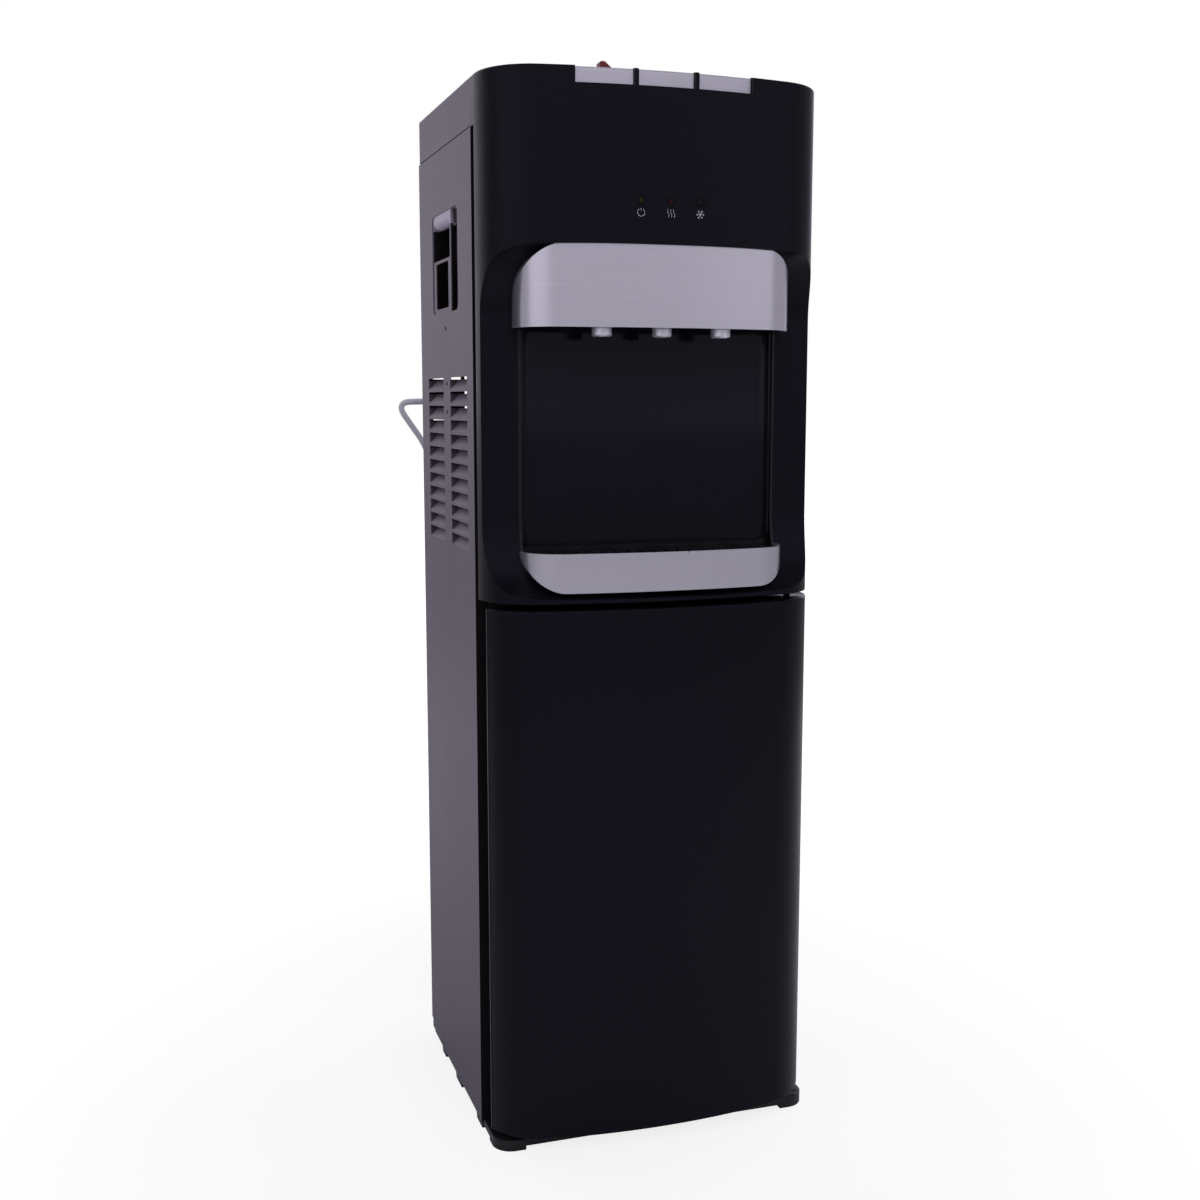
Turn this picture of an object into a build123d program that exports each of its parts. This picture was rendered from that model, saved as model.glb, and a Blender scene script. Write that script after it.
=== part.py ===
from build123d import *
from dataclasses import dataclass
import math
import os

# Floor-standing water dispenser that draws from a bottle behind its door.
# Frame: +X to the viewer's right, +Y to the back, +Z up, origin on the floor under the middle.
# All sizes are in millimetres.

# Overall plan
WIDTH = 340.0
DEPTH = 352.0
FRONT_DEPTH = 81.0
CONDENSER_ROOM = 26.0

# Bowed front, shared by the front cover and the door
BOW_RADIUS = 666.0
CORNER_RADIUS = 56.4

# Heights, stacked from the floor
FOOT_HEIGHT = 8.0
DOOR_BOTTOM = 14.4
DOOR_HEIGHT = 526.5
DOOR_GAP = 6.6
SCOOP_SILL = 3.5
SCOOP_HEIGHT = 330.0
BROW_HEIGHT = 156.0
TOP_SKIRT = 46.0

# Walls and general clearances
SHEET = 1.0
COVER_WALL = 3.0
LINER_WALL = 2.5
TRIM_WALL = 2.5
SLIDE_GAP = 0.6
RUNNING = 0.05
SEAM = 0.4
CUT = 5.0

# Scoop across the front, a flank between two oval ends
SCOOP_DEPTH = 56.0
SCOOP_UPPER = 64.0
SCOOP_LOWER = 74.0

# Front cover
GROOVE_WIDTH = 12.0
GROOVE_DEPTH = 4.0
RIM_WALL = 2.0
LAMP_PITCH = 29.2
LAMP_RISE = 39.0
LAMP_RADIUS = 2.6
LAMP_LENGTH = 10.0
LAMP_COLLAR = 4.0
BOARD_THICK = 1.6
BOARD_WIDTH = 84.0
BOARD_HEIGHT = 26.0

# Buttons, their pivot and their push rods
BUTTON_WIDTH = 54.0
BUTTON_PITCH = 59.0
BUTTON_SHIFT = 4.0
BUTTON_FACE = 15.0
BUTTON_DROP = 0.3
BUTTON_SKIRT = 10.0
BUTTON_WALL = 2.5
BUTTON_EDGE = 3.0
PIVOT_SETBACK = 48.0
PIVOT_DROP = 12.0
PIVOT_TAIL = 5.0
SHAFT_RADIUS = 2.5
LUG_WIDTH = 4.0
LUG_RADIUS = 6.0
PAD_HEIGHT = 9.0
PAD_RADIUS = 4.0
PAD_TIP = 1.5
ROD_RADIUS = 3.0
ROD_HEAD = 4.0
ROD_HEAD_HEIGHT = 5.0
ROD_HOLE = 4.2
ROD_GAP = 0.3

# Child lock on the hot button
LOCK_OFFSET = 10.0
LOCK_SETBACK = 28.0
LOCK_WIDTH = 14.0
LOCK_LENGTH = 10.0
LOCK_HEIGHT = 10.0
LOCK_CREST = 5.0
LOCK_TOE = 2.0
LOCK_ROUND = 2.0
LOCK_NECK = 6.0
LOCK_TRAVEL = 6.0
LOCK_KEEPER = 1.5
LOCK_GAP = 0.3

# Taps, nozzles and their silver cover
NOZZLE_PITCH = 60.0
NOZZLE_SETBACK = 22.6
NOZZLE_RADIUS = 9.5
NOZZLE_BORE = 5.0
NOZZLE_REACH = 8.0
TAP_HALF = 138.0
TAP_INSET = 2.0
TAP_CORNER = 38.0
TAP_ROUND = 40.0
TAP_HEIGHT = 76.0
TAP_FIT = 0.3
DECK_RISE = 3.0
DECK_THICK = 3.0
TAP_BODY_RADIUS = 13.0
TAP_BODY_HEIGHT = 44.0
TAP_BORE_DEPTH = 14.0
ROD_REACH = 8.0
SPIGOT_RADIUS = 5.0
SPIGOT_RISE = 14.0
SPIGOT_LENGTH = 9.0

# Dispensing bay, its liner and splash plate
BAY_HALF = 130.0
BAY_DEPTH = 15.0
BAY_ROUND = 12.0
BAY_HEAD = 32.0
LINER_FLANGE = 9.0
SPLASH_THICK = 2.5
SPLASH_RETURN = 13.0
SPLASH_ROUND = 12.0
SPLASH_FOOT = 3.0
SPLASH_GAP = 0.4

# Drip tray
TRAY_HALF = 134.0
TRAY_LOW = 6.0
TRAY_HEIGHT = 37.5
TRIM_ROUND = 36.0
BASIN_HALF = 110.0
BASIN_DEPTH = 21.0
BASIN_WALL = 2.0
GRILLE_HALF = 121.0
GRILLE_THICK = 3.0
GRILLE_DROP = 1.5
GRILLE_SLOTS = 17
GRILLE_PITCH = 13.0
GRILLE_SLOT = 6.0
GRILLE_SLANT = 25.0
GRILLE_MARGIN = 9.0
TRAY_BACK_GAP = 6.0

# Side panels, louvres and hand grips
FLANGE = 12.0
PANEL_NOTCH = 16.0
PANEL_NOTCH_HEIGHT = 12.0
LOUVRE_ROWS = 12
LOUVRE_PITCH = 14.4
LOUVRE_HEIGHT = 11.6
LOUVRE_DEPTH = 8.0
LOUVRE_SLIT = 2.2
LOUVRE_LENGTH = 75.0
LOUVRE_FROM_BACK = 36.5
LOUVRE_COLUMN_STEP = 106.5
LOUVRE_RISE = 35.0
GRIP_FROM_BACK = 66.0
GRIP_LENGTH = 118.0
GRIP_HEIGHT = 101.0
GRIP_DROP = 63.0
GRIP_ROUND = 8.0
GRIP_DEPTH = 20.0
GRIP_WALL = 2.0
GRIP_FLANGE = 9.0
GRIP_SLOT = 34.0
GRIP_PLATE = 3.0
GRIP_LIP = 12.0
GRIP_LIP_ROUND = 8.0
GRIP_WINDOW_EDGE = 5.0
GRIP_LOWER_WINDOW = 46.5
GRIP_LOWER_INSET = 8.0
GRIP_LEDGE = 3.0
GRIP_UPPER_WINDOW = 32.5

# Top cover
TOP_WALL = 2.5
TOP_ROUND = 6.0
TOP_LIP = 8.0
TOP_LIP_WALL = 2.0
LID_GROOVE = 1.2

# Base pan
BASE_TOP = 24.0
BASE_WALL = 3.0
BASE_REACH = 25.0
BASE_FRONT_INSET = 2.0
BASE_ROUND = 20.0
LIP_BOTTOM = 4.0
LIP_TOP = 11.0
SILL_HEIGHT = 14.0
SILL_THICK = 10.0
PAD_WIDTH = 20.0
PAD_SLOPE = 9.0
SIDE_PADS = ((54.0, 17.0), (124.0, 26.0), (221.0, 26.0))
CORNER_FOOT = 30.0
BASE_RIBS = 3

# Frame that the door closes on
UPRIGHT_WIDTH = 29.0
UPRIGHT_DEPTH = 14.0
HEADER_HEIGHT = 15.0
HEADER_DROP = 22.0

# Door and hinges
DOOR_WALL = 3.0
DOOR_SKIRT = 48.0
DOOR_EDGE = 2.0
TUB_INSET = 10.0
TUB_MARGIN = 8.0
TUB_WALL = 2.5
TUB_ROUND = 8.0
TUB_GAP = 3.0
DOOR_PLATE_INSET = 2.6
GASKET_WIDTH = 10.0
GASKET_GAP = 0.5
GASKET_OVERLAP = 2.0
HINGE_INSET = 18.0
HINGE_SETBACK = 40.0
PIN_RADIUS = 3.5
PIN_DEPTH = 18.0
BOSS_RADIUS = 7.5
HINGE_PLATE = 2.5
HINGE_WIDTH = 16.0
HINGE_NOSE = 10.0
HINGE_LEG = 10.0
HINGE_LIFT = 1.6
LOWER_HINGE = 2.0
LOWER_HINGE_LENGTH = 36.0

# Shelves and rear panels
SHELF_THICK = 2.0
SHELF_SETBACK = 25.0
MID_SHELF_RISE = 8.5
VENT_HEIGHT = 58.0
TANK_SHELF_DROP = 261.0

# Cooling unit
COMPRESSOR_X = 75.0
COMPRESSOR_FROM_BACK = 85.0
COMPRESSOR_RADIUS = 52.0
COMPRESSOR_HEIGHT = 128.0
COMPRESSOR_SEAM = 3.0
COMPRESSOR_SHOULDER = 20.0
COMPRESSOR_PLATE = 122.0
COMPRESSOR_PLATE_THICK = 3.0
GROMMET_RADIUS = 8.0
GROMMET_HEIGHT = 10.0
GROMMET_PITCH = 100.0
TUBE_RADIUS = 2.5
TUBE_SIDES = 8
TUBE_RUNS = 10
TUBE_PITCH = 54.0
TUBE_HALF = 112.0
TUBE_LOW = 112.0
WIRE_RADIUS = 0.9
WIRE_SIDES = 6
WIRES = 17
WIRE_PITCH = 13.0
WIRE_OVERRUN = 14.0
WIRE_GAP = 0.02
CLIP_THICK = 1.2
CLIP_HEIGHT = 16.0
CLIP_INSET = 13.0
CLIP_REACH = 48.0

# Tanks, pump, pipes and control box
TANK_FROM_BACK = 105.0
HOT_TANK_X = -78.0
HOT_TANK_RADIUS = 48.0
HOT_TANK_HEIGHT = 125.0
COLD_TANK_X = 68.0
COLD_TANK_RADIUS = 60.0
COLD_TANK_HEIGHT = 150.0
TANK_SHOULDER = 14.0
PIPE_RADIUS = 4.5
PIPE_BEND = 30.0
PUMP_SETBACK = 77.0
PUMP_RADIUS = 24.0
PUMP_HEIGHT = 46.0
PUMP_SHOULDER = 6.0
PUMP_SPIGOT = 14.0
INLET_LENGTH = 16.0
BOX_WIDTH = 80.0
BOX_LENGTH = 76.0
BOX_HEIGHT = 74.0
BOX_X = -40.0
BOX_FROM_BACK = 30.0
BOX_ROUND = 4.0

# Rear switches
SWITCH_PITCH = 30.0
SWITCH_INSET = 65.0
SWITCH_RISE = 70.0
SWITCH_WIDTH = 20.0
SWITCH_HEIGHT = 28.0
SWITCH_BEZEL = 2.0
SWITCH_RIM = 2.5
SWITCH_DEPTH = 20.0
SWITCH_WELL = 11.0
ROCKER_GAP = 0.6
ROCKER_TILT = 8.0
ROCKER_DIP = 6.5
ROCKER_HORN = 8.5
ROCKER_SINK = 6.0
ROCKER_ROOT = 3.0
ROCKER_PIN = 1.5

# Mains cord, its gland, coil, tie and plug
CORD_RADIUS = 3.5
CORD_SIDES = 8
GLAND_DROP = 38.0
GLAND_RADIUS = 9.0
GLAND_PLATE = 2.0
GLAND_LENGTH = 28.0
GLAND_TIP = 5.2
CORD_LEAD = 38.0
CORD_LAND = 32.0
CORD_BENDS = (
    (-72, 216, 737),
    (-127, 221, 737.5),
    (-161, 216, 736.6),
    (-179.2, 213, 736.3),
    (-183.6, 213, 728.5),
    (-173.9, 214, 714),
    (-155.5, 216, 688.7),
    (-138, 218, 644),
    (-127, 220, 572),
    (-121, 223, 480),
    (-119, 222, 380),
    (-123, 220, 280),
    (-122, 221, 180),
    (-119, 216, 100),
    (-108, 206, 48),
    (-82, 196, 14),
)
COIL_START = (-5, 190)
COIL_OUTER = 42.0
COIL_GAP = 0.5
COIL_HALF_TURNS = 3
COIL_TAIL = 42.0
TIE_THICK = 1.0
TIE_WIDTH = 8.0
TIE_GAP = 0.1
PLUG_RELIEF = 18.0
PLUG_LENGTH = 38.0
PLUG_WIDTH = 27.0
PLUG_ROUND = 4.0
BLADE_LENGTH = 17.0
BLADE_WIDTH = 6.5
BLADE_THICK = 1.6
BLADE_PITCH = 12.7

# Places worked out from the sizes above
HALF = WIDTH / 2
FRONT = -DEPTH / 2
REAR = DEPTH / 2
PANEL_FRONT = FRONT + FRONT_DEPTH
PANEL_BACK = REAR - CONDENSER_ROOM
INNER_HALF = HALF - SHEET
DOOR_TOP = DOOR_BOTTOM + DOOR_HEIGHT
COVER_BOTTOM = DOOR_TOP + DOOR_GAP
SCOOP_BOTTOM = COVER_BOTTOM + SCOOP_SILL
SCOOP_TOP = SCOOP_BOTTOM + SCOOP_HEIGHT
HEIGHT = SCOOP_TOP + BROW_HEIGHT
SEAM_Z = HEIGHT - TOP_SKIRT
FLANK = FRONT + SCOOP_DEPTH
LINER_BACK = FLANK + BAY_DEPTH
BUTTON_TOP = HEIGHT - BUTTON_DROP
BUTTON_SILL = BUTTON_TOP - BUTTON_FACE
BUTTON_INSET = COVER_WALL + SLIDE_GAP
BUTTON_X = tuple(i * BUTTON_PITCH - BUTTON_SHIFT for i in (-1, 0, 1))
PIVOT_Y = FRONT + PIVOT_SETBACK
PIVOT_Z = BUTTON_TOP - PIVOT_DROP
BUTTON_BACK = PIVOT_Y + PIVOT_TAIL
NOZZLE_X = (-NOZZLE_PITCH, 0.0, NOZZLE_PITCH)
NOZZLE_Y = FRONT + NOZZLE_SETBACK
TAP_BOTTOM = SCOOP_TOP - TAP_HEIGHT
DECK_LOW = TAP_BOTTOM + DECK_RISE
DECK_TOP = DECK_LOW + DECK_THICK
TAP_TOP = DECK_TOP + TAP_BODY_HEIGHT
BAY_TOP = DECK_TOP + BAY_HEAD
TRAY_BOTTOM = SCOOP_BOTTOM + TRAY_LOW
TRAY_TOP = TRAY_BOTTOM + TRAY_HEIGHT
GRILLE_TOP = TRAY_TOP - GRILLE_DROP
GRILLE_LOW = GRILLE_TOP - GRILLE_THICK
BAY_FLOOR = GRILLE_LOW - SLIDE_GAP
BASIN_LOW = GRILLE_LOW - BASIN_DEPTH
TRAY_BACK = LINER_BACK - TRAY_BACK_GAP
SKIRT_BACK = FRONT + DOOR_SKIRT
TUB_BACK = PANEL_FRONT - TUB_GAP
FRAME_FRONT = PANEL_FRONT + SHEET
FRAME_BACK = FRAME_FRONT + UPRIGHT_DEPTH
OPENING_HALF = INNER_HALF - UPRIGHT_WIDTH
HEADER_LOW = DOOR_TOP - HEADER_DROP
HEADER_TOP = HEADER_LOW + HEADER_HEIGHT
HINGE_X = HALF - HINGE_INSET
HINGE_Y = FRONT + HINGE_SETBACK
BACK_WALL = PANEL_BACK - SHEET
MID_SHELF = COVER_BOTTOM + MID_SHELF_RISE
TANK_SHELF = HEIGHT - TANK_SHELF_DROP
VENT_LOW = TANK_SHELF - SHELF_THICK - VENT_HEIGHT
SHELF_FRONT = FRAME_FRONT + SHELF_SETBACK
TANK_Y = PANEL_BACK - TANK_FROM_BACK
TUBE_Y = REAR - 2 * WIRE_RADIUS - WIRE_GAP - TUBE_RADIUS
PIPE_Z = DECK_TOP + SPIGOT_RISE
PUMP_Y = FLANK + PUMP_SETBACK
BOX_BACK = PANEL_BACK - BOX_FROM_BACK
SWITCH_X = HALF - SWITCH_INSET
GLAND_Z = TANK_SHELF - SHELF_THICK - GLAND_DROP
GLAND_END = BOX_BACK + GLAND_PLATE + GLAND_LENGTH
COIL_PITCH = 2 * CORD_RADIUS + COIL_GAP
COIL_LOW = TIE_THICK + TIE_GAP + CORD_RADIUS
COIL_HIGH = COIL_LOW + COIL_PITCH


@dataclass
class Bow:
    """Plan of a bowed front: half width, y of its middle, bow radius and corner radius."""
    half: float
    front: float
    radius: float
    corner: float

    def centres(self):
        """Centre of the bow, and centre of its right-hand corner."""
        bow = Vector(0, self.front + self.radius)
        across = self.half - self.corner
        drop = math.sqrt((self.radius - self.corner) ** 2 - across ** 2)
        return bow, Vector(across, bow.Y - drop)

    def y_at(self, x, inset=0.0):
        """Height of the bow's face at x, within its flat middle."""
        return self.front + self.radius - math.sqrt((self.radius - inset) ** 2 - x ** 2)

    def face(self, inset, back):
        """Plan drawn in by inset and closed straight across at y = back."""
        bow, corner = self.centres()
        half = self.half - inset
        out = (corner - bow).normalized()
        side = Vector(half, corner.Y)
        turn = corner + (out + Vector(1, 0)).normalized() * (self.corner - inset)
        joint = bow + out * (self.radius - inset)
        middle = Vector(0, self.front + inset)
        left_side, left_turn, left_joint = (Vector(-p.X, p.Y) for p in (side, turn, joint))
        return make_face([
            Line((half, back), side),
            ThreePointArc(side, turn, joint),
            ThreePointArc(joint, middle, left_joint),
            ThreePointArc(left_joint, left_turn, left_side),
            Line(left_side, (-half, back)),
            Line((-half, back), (half, back)),
        ])

    def solid(self, inset, back, low, high):
        """The plan raised from low to high and cut off square at y = back."""
        plan = self.face(inset, self.front + self.radius)
        keep = wide(self.half + CUT, (self.front - CUT, back), (low, high))
        return Pos(0, 0, low) * extrude(plan, amount=high - low, dir=(0, 0, 1)) & keep


BODY = Bow(HALF, FRONT, BOW_RADIUS, CORNER_RADIUS)
TAP = Bow(TAP_HALF, FRONT + TAP_INSET, BOW_RADIUS, TAP_CORNER)
TRAY = Bow(TRAY_HALF, FRONT + TAP_INSET, BOW_RADIUS, TAP_CORNER)


def block(x, y, z):
    """Box between the low and high ends of each axis."""
    size = [high - low for low, high in (x, y, z)]
    middle = [(high + low) / 2 for low, high in (x, y, z)]
    return Pos(*middle) * Box(*size)


def wide(half, y, z):
    """Box centred on x = 0."""
    return block((-half, half), y, z)


def post(x, y, z, radius):
    """Upright cylinder between the two heights in z."""
    return Pos(x, y, sum(z) / 2) * Cylinder(radius, z[1] - z[0])


def bar_y(x, y, z, radius):
    """Cylinder along Y between the two ends in y."""
    return Pos(x, sum(y) / 2, z) * Rot(90, 0, 0) * Cylinder(radius, y[1] - y[0])


def bar_x(x, y, z, radius):
    """Cylinder along X between the two ends in x."""
    return Pos(sum(x) / 2, y, z) * Rot(0, 90, 0) * Cylinder(radius, x[1] - x[0])


def side_prism(points, x):
    """Prism with a (y, z) outline, between the two ends in x."""
    face = Plane.YZ * make_face(Polyline(*points, close=True))
    return Pos(x[0], 0, 0) * extrude(face, amount=x[1] - x[0], dir=(1, 0, 0))


def cross_prism(points, y):
    """Prism with an (x, z) outline, between the two ends in y."""
    face = Plane.XZ * make_face(Polyline(*points, close=True))
    return Pos(0, y[0], 0) * extrude(face, amount=y[1] - y[0], dir=(0, 1, 0))


def front_panel(half, z, y, rounds):
    """Plate facing the front with all four corners rounded."""
    outline = RectangleRounded(2 * half, z[1] - z[0], rounds)
    face = Plane((0, y[0], sum(z) / 2), x_dir=(1, 0, 0), z_dir=(0, -1, 0)) * outline
    return extrude(face, amount=y[1] - y[0], dir=(0, 1, 0))


def side_panel_hole(y, z, rounds, x):
    """Rounded window through a side wall."""
    outline = RectangleRounded(y[1] - y[0], z[1] - z[0], rounds)
    face = Plane((x[0], sum(y) / 2, sum(z) / 2), x_dir=(0, 1, 0), z_dir=(1, 0, 0)) * outline
    return extrude(face, amount=x[1] - x[0], dir=(1, 0, 0))


def oval_arcs(rise, grow, middle, way):
    """Two tangent arcs in place of a quarter ellipse, from the flank at z = middle to the crown."""
    longer = max(SCOOP_DEPTH, rise)
    shorter = min(SCOOP_DEPTH, rise)
    tight = (shorter ** 2 / longer + shorter) / 2
    slack = (longer ** 2 + shorter ** 2 - 2 * longer * tight) / (2 * (shorter - tight))
    crown_radius, flank_radius = (tight, slack) if rise > SCOOP_DEPTH else (slack, tight)
    crown = Vector(FRONT, middle + way * (rise - crown_radius))
    flank = Vector(FLANK - flank_radius, middle)
    outward = (crown - flank if rise > SCOOP_DEPTH else flank - crown).normalized()
    joint = flank + outward * (flank_radius + grow)
    return [
        TangentArc((FLANK + grow, middle), joint, tangent=(0, way)),
        TangentArc((FRONT, middle + way * (rise + grow)), joint, tangent=(1, 0)),
    ]


def scoop(grow=0.0):
    """Space of the scoop, through the whole width, grown by the given amount."""
    upper_z = SCOOP_TOP - SCOOP_UPPER
    lower_z = SCOOP_BOTTOM + SCOOP_LOWER
    top = SCOOP_TOP + grow
    low = SCOOP_BOTTOM - grow
    ahead = FRONT - CUT
    outline = make_face([
        *oval_arcs(SCOOP_UPPER, grow, upper_z, 1),
        Line((FRONT, top), (ahead, top)),
        Line((ahead, top), (ahead, low)),
        Line((ahead, low), (FRONT, low)),
        *oval_arcs(SCOOP_LOWER, grow, lower_z, -1),
        Line((FLANK + grow, lower_z), (FLANK + grow, upper_z)),
    ])
    return extrude(Plane.YZ * outline, amount=WIDTH, both=True)


def front_cover():
    """Bowed moulding with the scoop, a stepped rim, and windows for buttons and lamps."""
    wall_back = PANEL_FRONT - GROOVE_WIDTH
    rim_inner = GROOVE_DEPTH + RIM_WALL
    low = COVER_BOTTOM + COVER_WALL
    high = HEIGHT - COVER_WALL
    shape = BODY.solid(0, wall_back, COVER_BOTTOM, HEIGHT)
    shape += BODY.solid(0, PANEL_FRONT - SEAM, SEAM_Z, HEIGHT)
    shape += BODY.solid(GROOVE_DEPTH, PANEL_FRONT, COVER_BOTTOM, SEAM_Z)
    top_edges = [e for e in shape.edges().group_by(Axis.Z)[-1] if e.center().Y < PANEL_FRONT - 1]
    shape = fillet(top_edges, BUTTON_EDGE)
    cavity = BODY.solid(COVER_WALL, wall_back - COVER_WALL, low, high)
    cavity += BODY.solid(rim_inner, PANEL_FRONT + CUT, low, high)
    cavity -= scoop(COVER_WALL)
    shape = shape - scoop() - cavity
    bay = BAY_HALF + LINER_WALL
    basin = BASIN_HALF + SLIDE_GAP + LINER_WALL
    through = (FRONT, FLANK + COVER_WALL)
    shape -= wide(bay, through, (BAY_FLOOR - LINER_WALL, BAY_TOP + LINER_WALL))
    shape -= wide(basin, through, (BASIN_LOW - SLIDE_GAP - LINER_WALL, BAY_FLOOR))
    for x in BUTTON_X:
        window = BUTTON_WIDTH / 2 + SLIDE_GAP
        shape -= block((x - window, x + window), (FRONT - CUT, BUTTON_BACK + SLIDE_GAP),
                       (BUTTON_SILL, HEIGHT + CUT))
    for i in range(len(BUTTON_X) + 1):
        x = BUTTON_X[0] + (i - 0.5) * BUTTON_PITCH
        ends = (x - LUG_WIDTH / 2, x + LUG_WIDTH / 2)
        lug = bar_x(ends, PIVOT_Y, PIVOT_Z, LUG_RADIUS)
        lug += block(ends, (PIVOT_Y - LUG_RADIUS, PIVOT_Y + LUG_RADIUS), (PIVOT_Z, high + SEAM))
        shape += lug
    shape -= button_shaft()
    for x in NOZZLE_X:
        shape -= post(x, NOZZLE_Y, (TAP_TOP, SCOOP_TOP + COVER_WALL), ROD_HOLE)
    for x in lamp_places():
        shape -= bar_y(x, (FRONT - CUT, FRONT + LAMP_LENGTH), lamp_height(), LAMP_RADIUS)
    return shape


def lamp_places():
    return (-LAMP_PITCH, 0.0, LAMP_PITCH)


def lamp_height():
    return SCOOP_TOP + LAMP_RISE


def lamp(x):
    """Indicator lens through the front wall, its collar on the lamp board."""
    z = lamp_height()
    face = BODY.y_at(x)
    inside = BODY.y_at(x, COVER_WALL)
    rear = board_front()
    lens = bar_y(x, (face, rear), z, LAMP_RADIUS)
    return lens + bar_y(x, (inside + SEAM, rear), z, LAMP_COLLAR)


def board_front():
    return BODY.y_at(LAMP_PITCH, COVER_WALL) + LAMP_LENGTH


def lamp_board():
    """Printed board behind the lamps, on two posts that reach the front wall."""
    z = lamp_height()
    y = board_front()
    half = BOARD_WIDTH / 2
    board = wide(half, (y, y + BOARD_THICK), (z - BOARD_HEIGHT / 2, z + BOARD_HEIGHT / 2))
    for x in (-half + LAMP_COLLAR, half - LAMP_COLLAR):
        board += bar_y(x, (BODY.y_at(x, COVER_WALL) + SEAM, y), z, LAMP_COLLAR)
    return board


def button(place):
    """Hollow push button that follows the bow and turns on the shaft at its back."""
    x = BUTTON_X[place]
    ends = (x - BUTTON_WIDTH / 2, x + BUTTON_WIDTH / 2)
    low = BUTTON_SILL - BUTTON_SKIRT
    deep = (FRONT, BUTTON_BACK + CUT)
    shape = BODY.solid(BUTTON_INSET, BUTTON_BACK, low, BUTTON_TOP) & block(ends, deep, (low, BUTTON_TOP))
    front_edge = shape.edges().group_by(Axis.Z)[-1].sort_by(Axis.Y)[0]
    shape = fillet(front_edge, BUTTON_EDGE)
    inner = (ends[0] + BUTTON_WALL, ends[1] - BUTTON_WALL)
    hollow = BODY.solid(BUTTON_INSET + BUTTON_WALL, BUTTON_BACK + CUT, low - CUT, BUTTON_TOP - BUTTON_WALL)
    shape -= hollow & block(inner, deep, (low - CUT, BUTTON_TOP))
    pad = PAD_HEIGHT - BUTTON_WALL
    shape += Pos(NOZZLE_X[place], NOZZLE_Y, pad_low() + pad / 2) * Cone(PAD_TIP, PAD_RADIUS, pad)
    return shape - bar_x(ends, PIVOT_Y, PIVOT_Z, SHAFT_RADIUS + RUNNING)


def pad_low():
    return BUTTON_TOP - PAD_HEIGHT


def lock_place():
    """Middle of the child lock on the hot button, as (x, y)."""
    x = BUTTON_X[0] + LOCK_OFFSET
    return x, BODY.y_at(x, BUTTON_INSET) + LOCK_SETBACK


def hot_button():
    """Left-hand button, with a slot for the child lock."""
    x, y = lock_place()
    half = LOCK_NECK / 2 + LOCK_GAP
    reach = LOCK_LENGTH / 2 + LOCK_GAP
    slot = block((x - half, x + half), (y - reach, y + reach + LOCK_TRAVEL),
                 (BUTTON_TOP - BUTTON_WALL - CUT, BUTTON_TOP + CUT))
    return button(0) - slot


def child_lock():
    """Red tab with a sloping side that slides along the slot, held by a keeper under the button's top."""
    x, y = lock_place()
    half = LOCK_WIDTH / 2
    low = BUTTON_TOP + LOCK_GAP
    top = BUTTON_TOP + LOCK_HEIGHT
    under = BUTTON_TOP - BUTTON_WALL - LOCK_GAP
    along = (y - LOCK_LENGTH / 2, y + LOCK_LENGTH / 2)
    ramp = [(x - half, low), (x + half, low), (x + half, low + LOCK_TOE), (x - half + LOCK_CREST, top),
            (x - half, top)]
    tab = cross_prism(ramp, along)
    tab = fillet(tab.edges().filter_by(Axis.Y).group_by(Axis.Z)[-1], LOCK_ROUND)
    neck = block((x - LOCK_NECK / 2, x + LOCK_NECK / 2), along, (under - LOCK_KEEPER, low + LOCK_GAP))
    keeper = block((x - LOCK_NECK, x + LOCK_NECK), along, (under - LOCK_KEEPER, under))
    return tab + neck + keeper


def push_rod(x):
    """Rod from a button's pad down into its tap."""
    top = pad_low() - ROD_GAP
    rod = post(x, NOZZLE_Y, (TAP_TOP - ROD_REACH, top), ROD_RADIUS)
    return rod + post(x, NOZZLE_Y, (top - ROD_HEAD_HEIGHT, top), ROD_HEAD)


def button_shaft():
    """Steel rod that the three buttons turn on."""
    reach = BUTTON_PITCH / 2 + LUG_WIDTH / 2
    return bar_x((BUTTON_X[0] - reach, BUTTON_X[-1] + reach), PIVOT_Y, PIVOT_Z, SHAFT_RADIUS)


def tap_cover():
    """Silver cover over the taps: its top follows the scoop's upper end, with large round corners."""
    snug = Pos(0, TAP_FIT, 0) * scoop(-TAP_FIT)
    inside = Pos(0, TAP_FIT + TRIM_WALL, 0) * scoop(-TAP_FIT - TRIM_WALL)
    through = (FRONT - CUT, REAR)
    low = TAP_BOTTOM - 2 * TAP_ROUND
    arch = front_panel(TAP_HALF, (low, SCOOP_TOP), through, TAP_ROUND)
    inner_arch = front_panel(TAP_HALF - TRIM_WALL, (low, SCOOP_TOP - TRIM_WALL), through,
                             TAP_ROUND - TRIM_WALL)
    shell = TAP.solid(0, FLANK, TAP_BOTTOM, SCOOP_TOP) & snug & arch
    shell -= TAP.solid(TRIM_WALL, FLANK + CUT, TAP_BOTTOM - CUT, SCOOP_TOP) & inside & inner_arch
    for x in NOZZLE_X:
        shell -= post(x, NOZZLE_Y, (TAP_TOP, SCOOP_TOP), ROD_HOLE)
        shell -= bar_y(x, (spigot_end(), FLANK + CUT), PIPE_Z, PIPE_RADIUS + SLIDE_GAP)
    return shell


def tap_deck():
    """Ceiling of the bay, which carries the taps."""
    deck = TAP.solid(TRIM_WALL + TAP_FIT, FLANK - TAP_FIT, DECK_LOW, DECK_TOP)
    rear = wide(BAY_HALF, (FLANK - 2 * TAP_FIT, LINER_BACK), (DECK_LOW, DECK_TOP))
    deck += fillet(rear.edges().filter_by(Axis.Z).group_by(Axis.Y)[-1], BAY_ROUND)
    for x in NOZZLE_X:
        deck -= post(x, NOZZLE_Y, (DECK_LOW - CUT, DECK_TOP + CUT), NOZZLE_RADIUS)
    return deck


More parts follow.
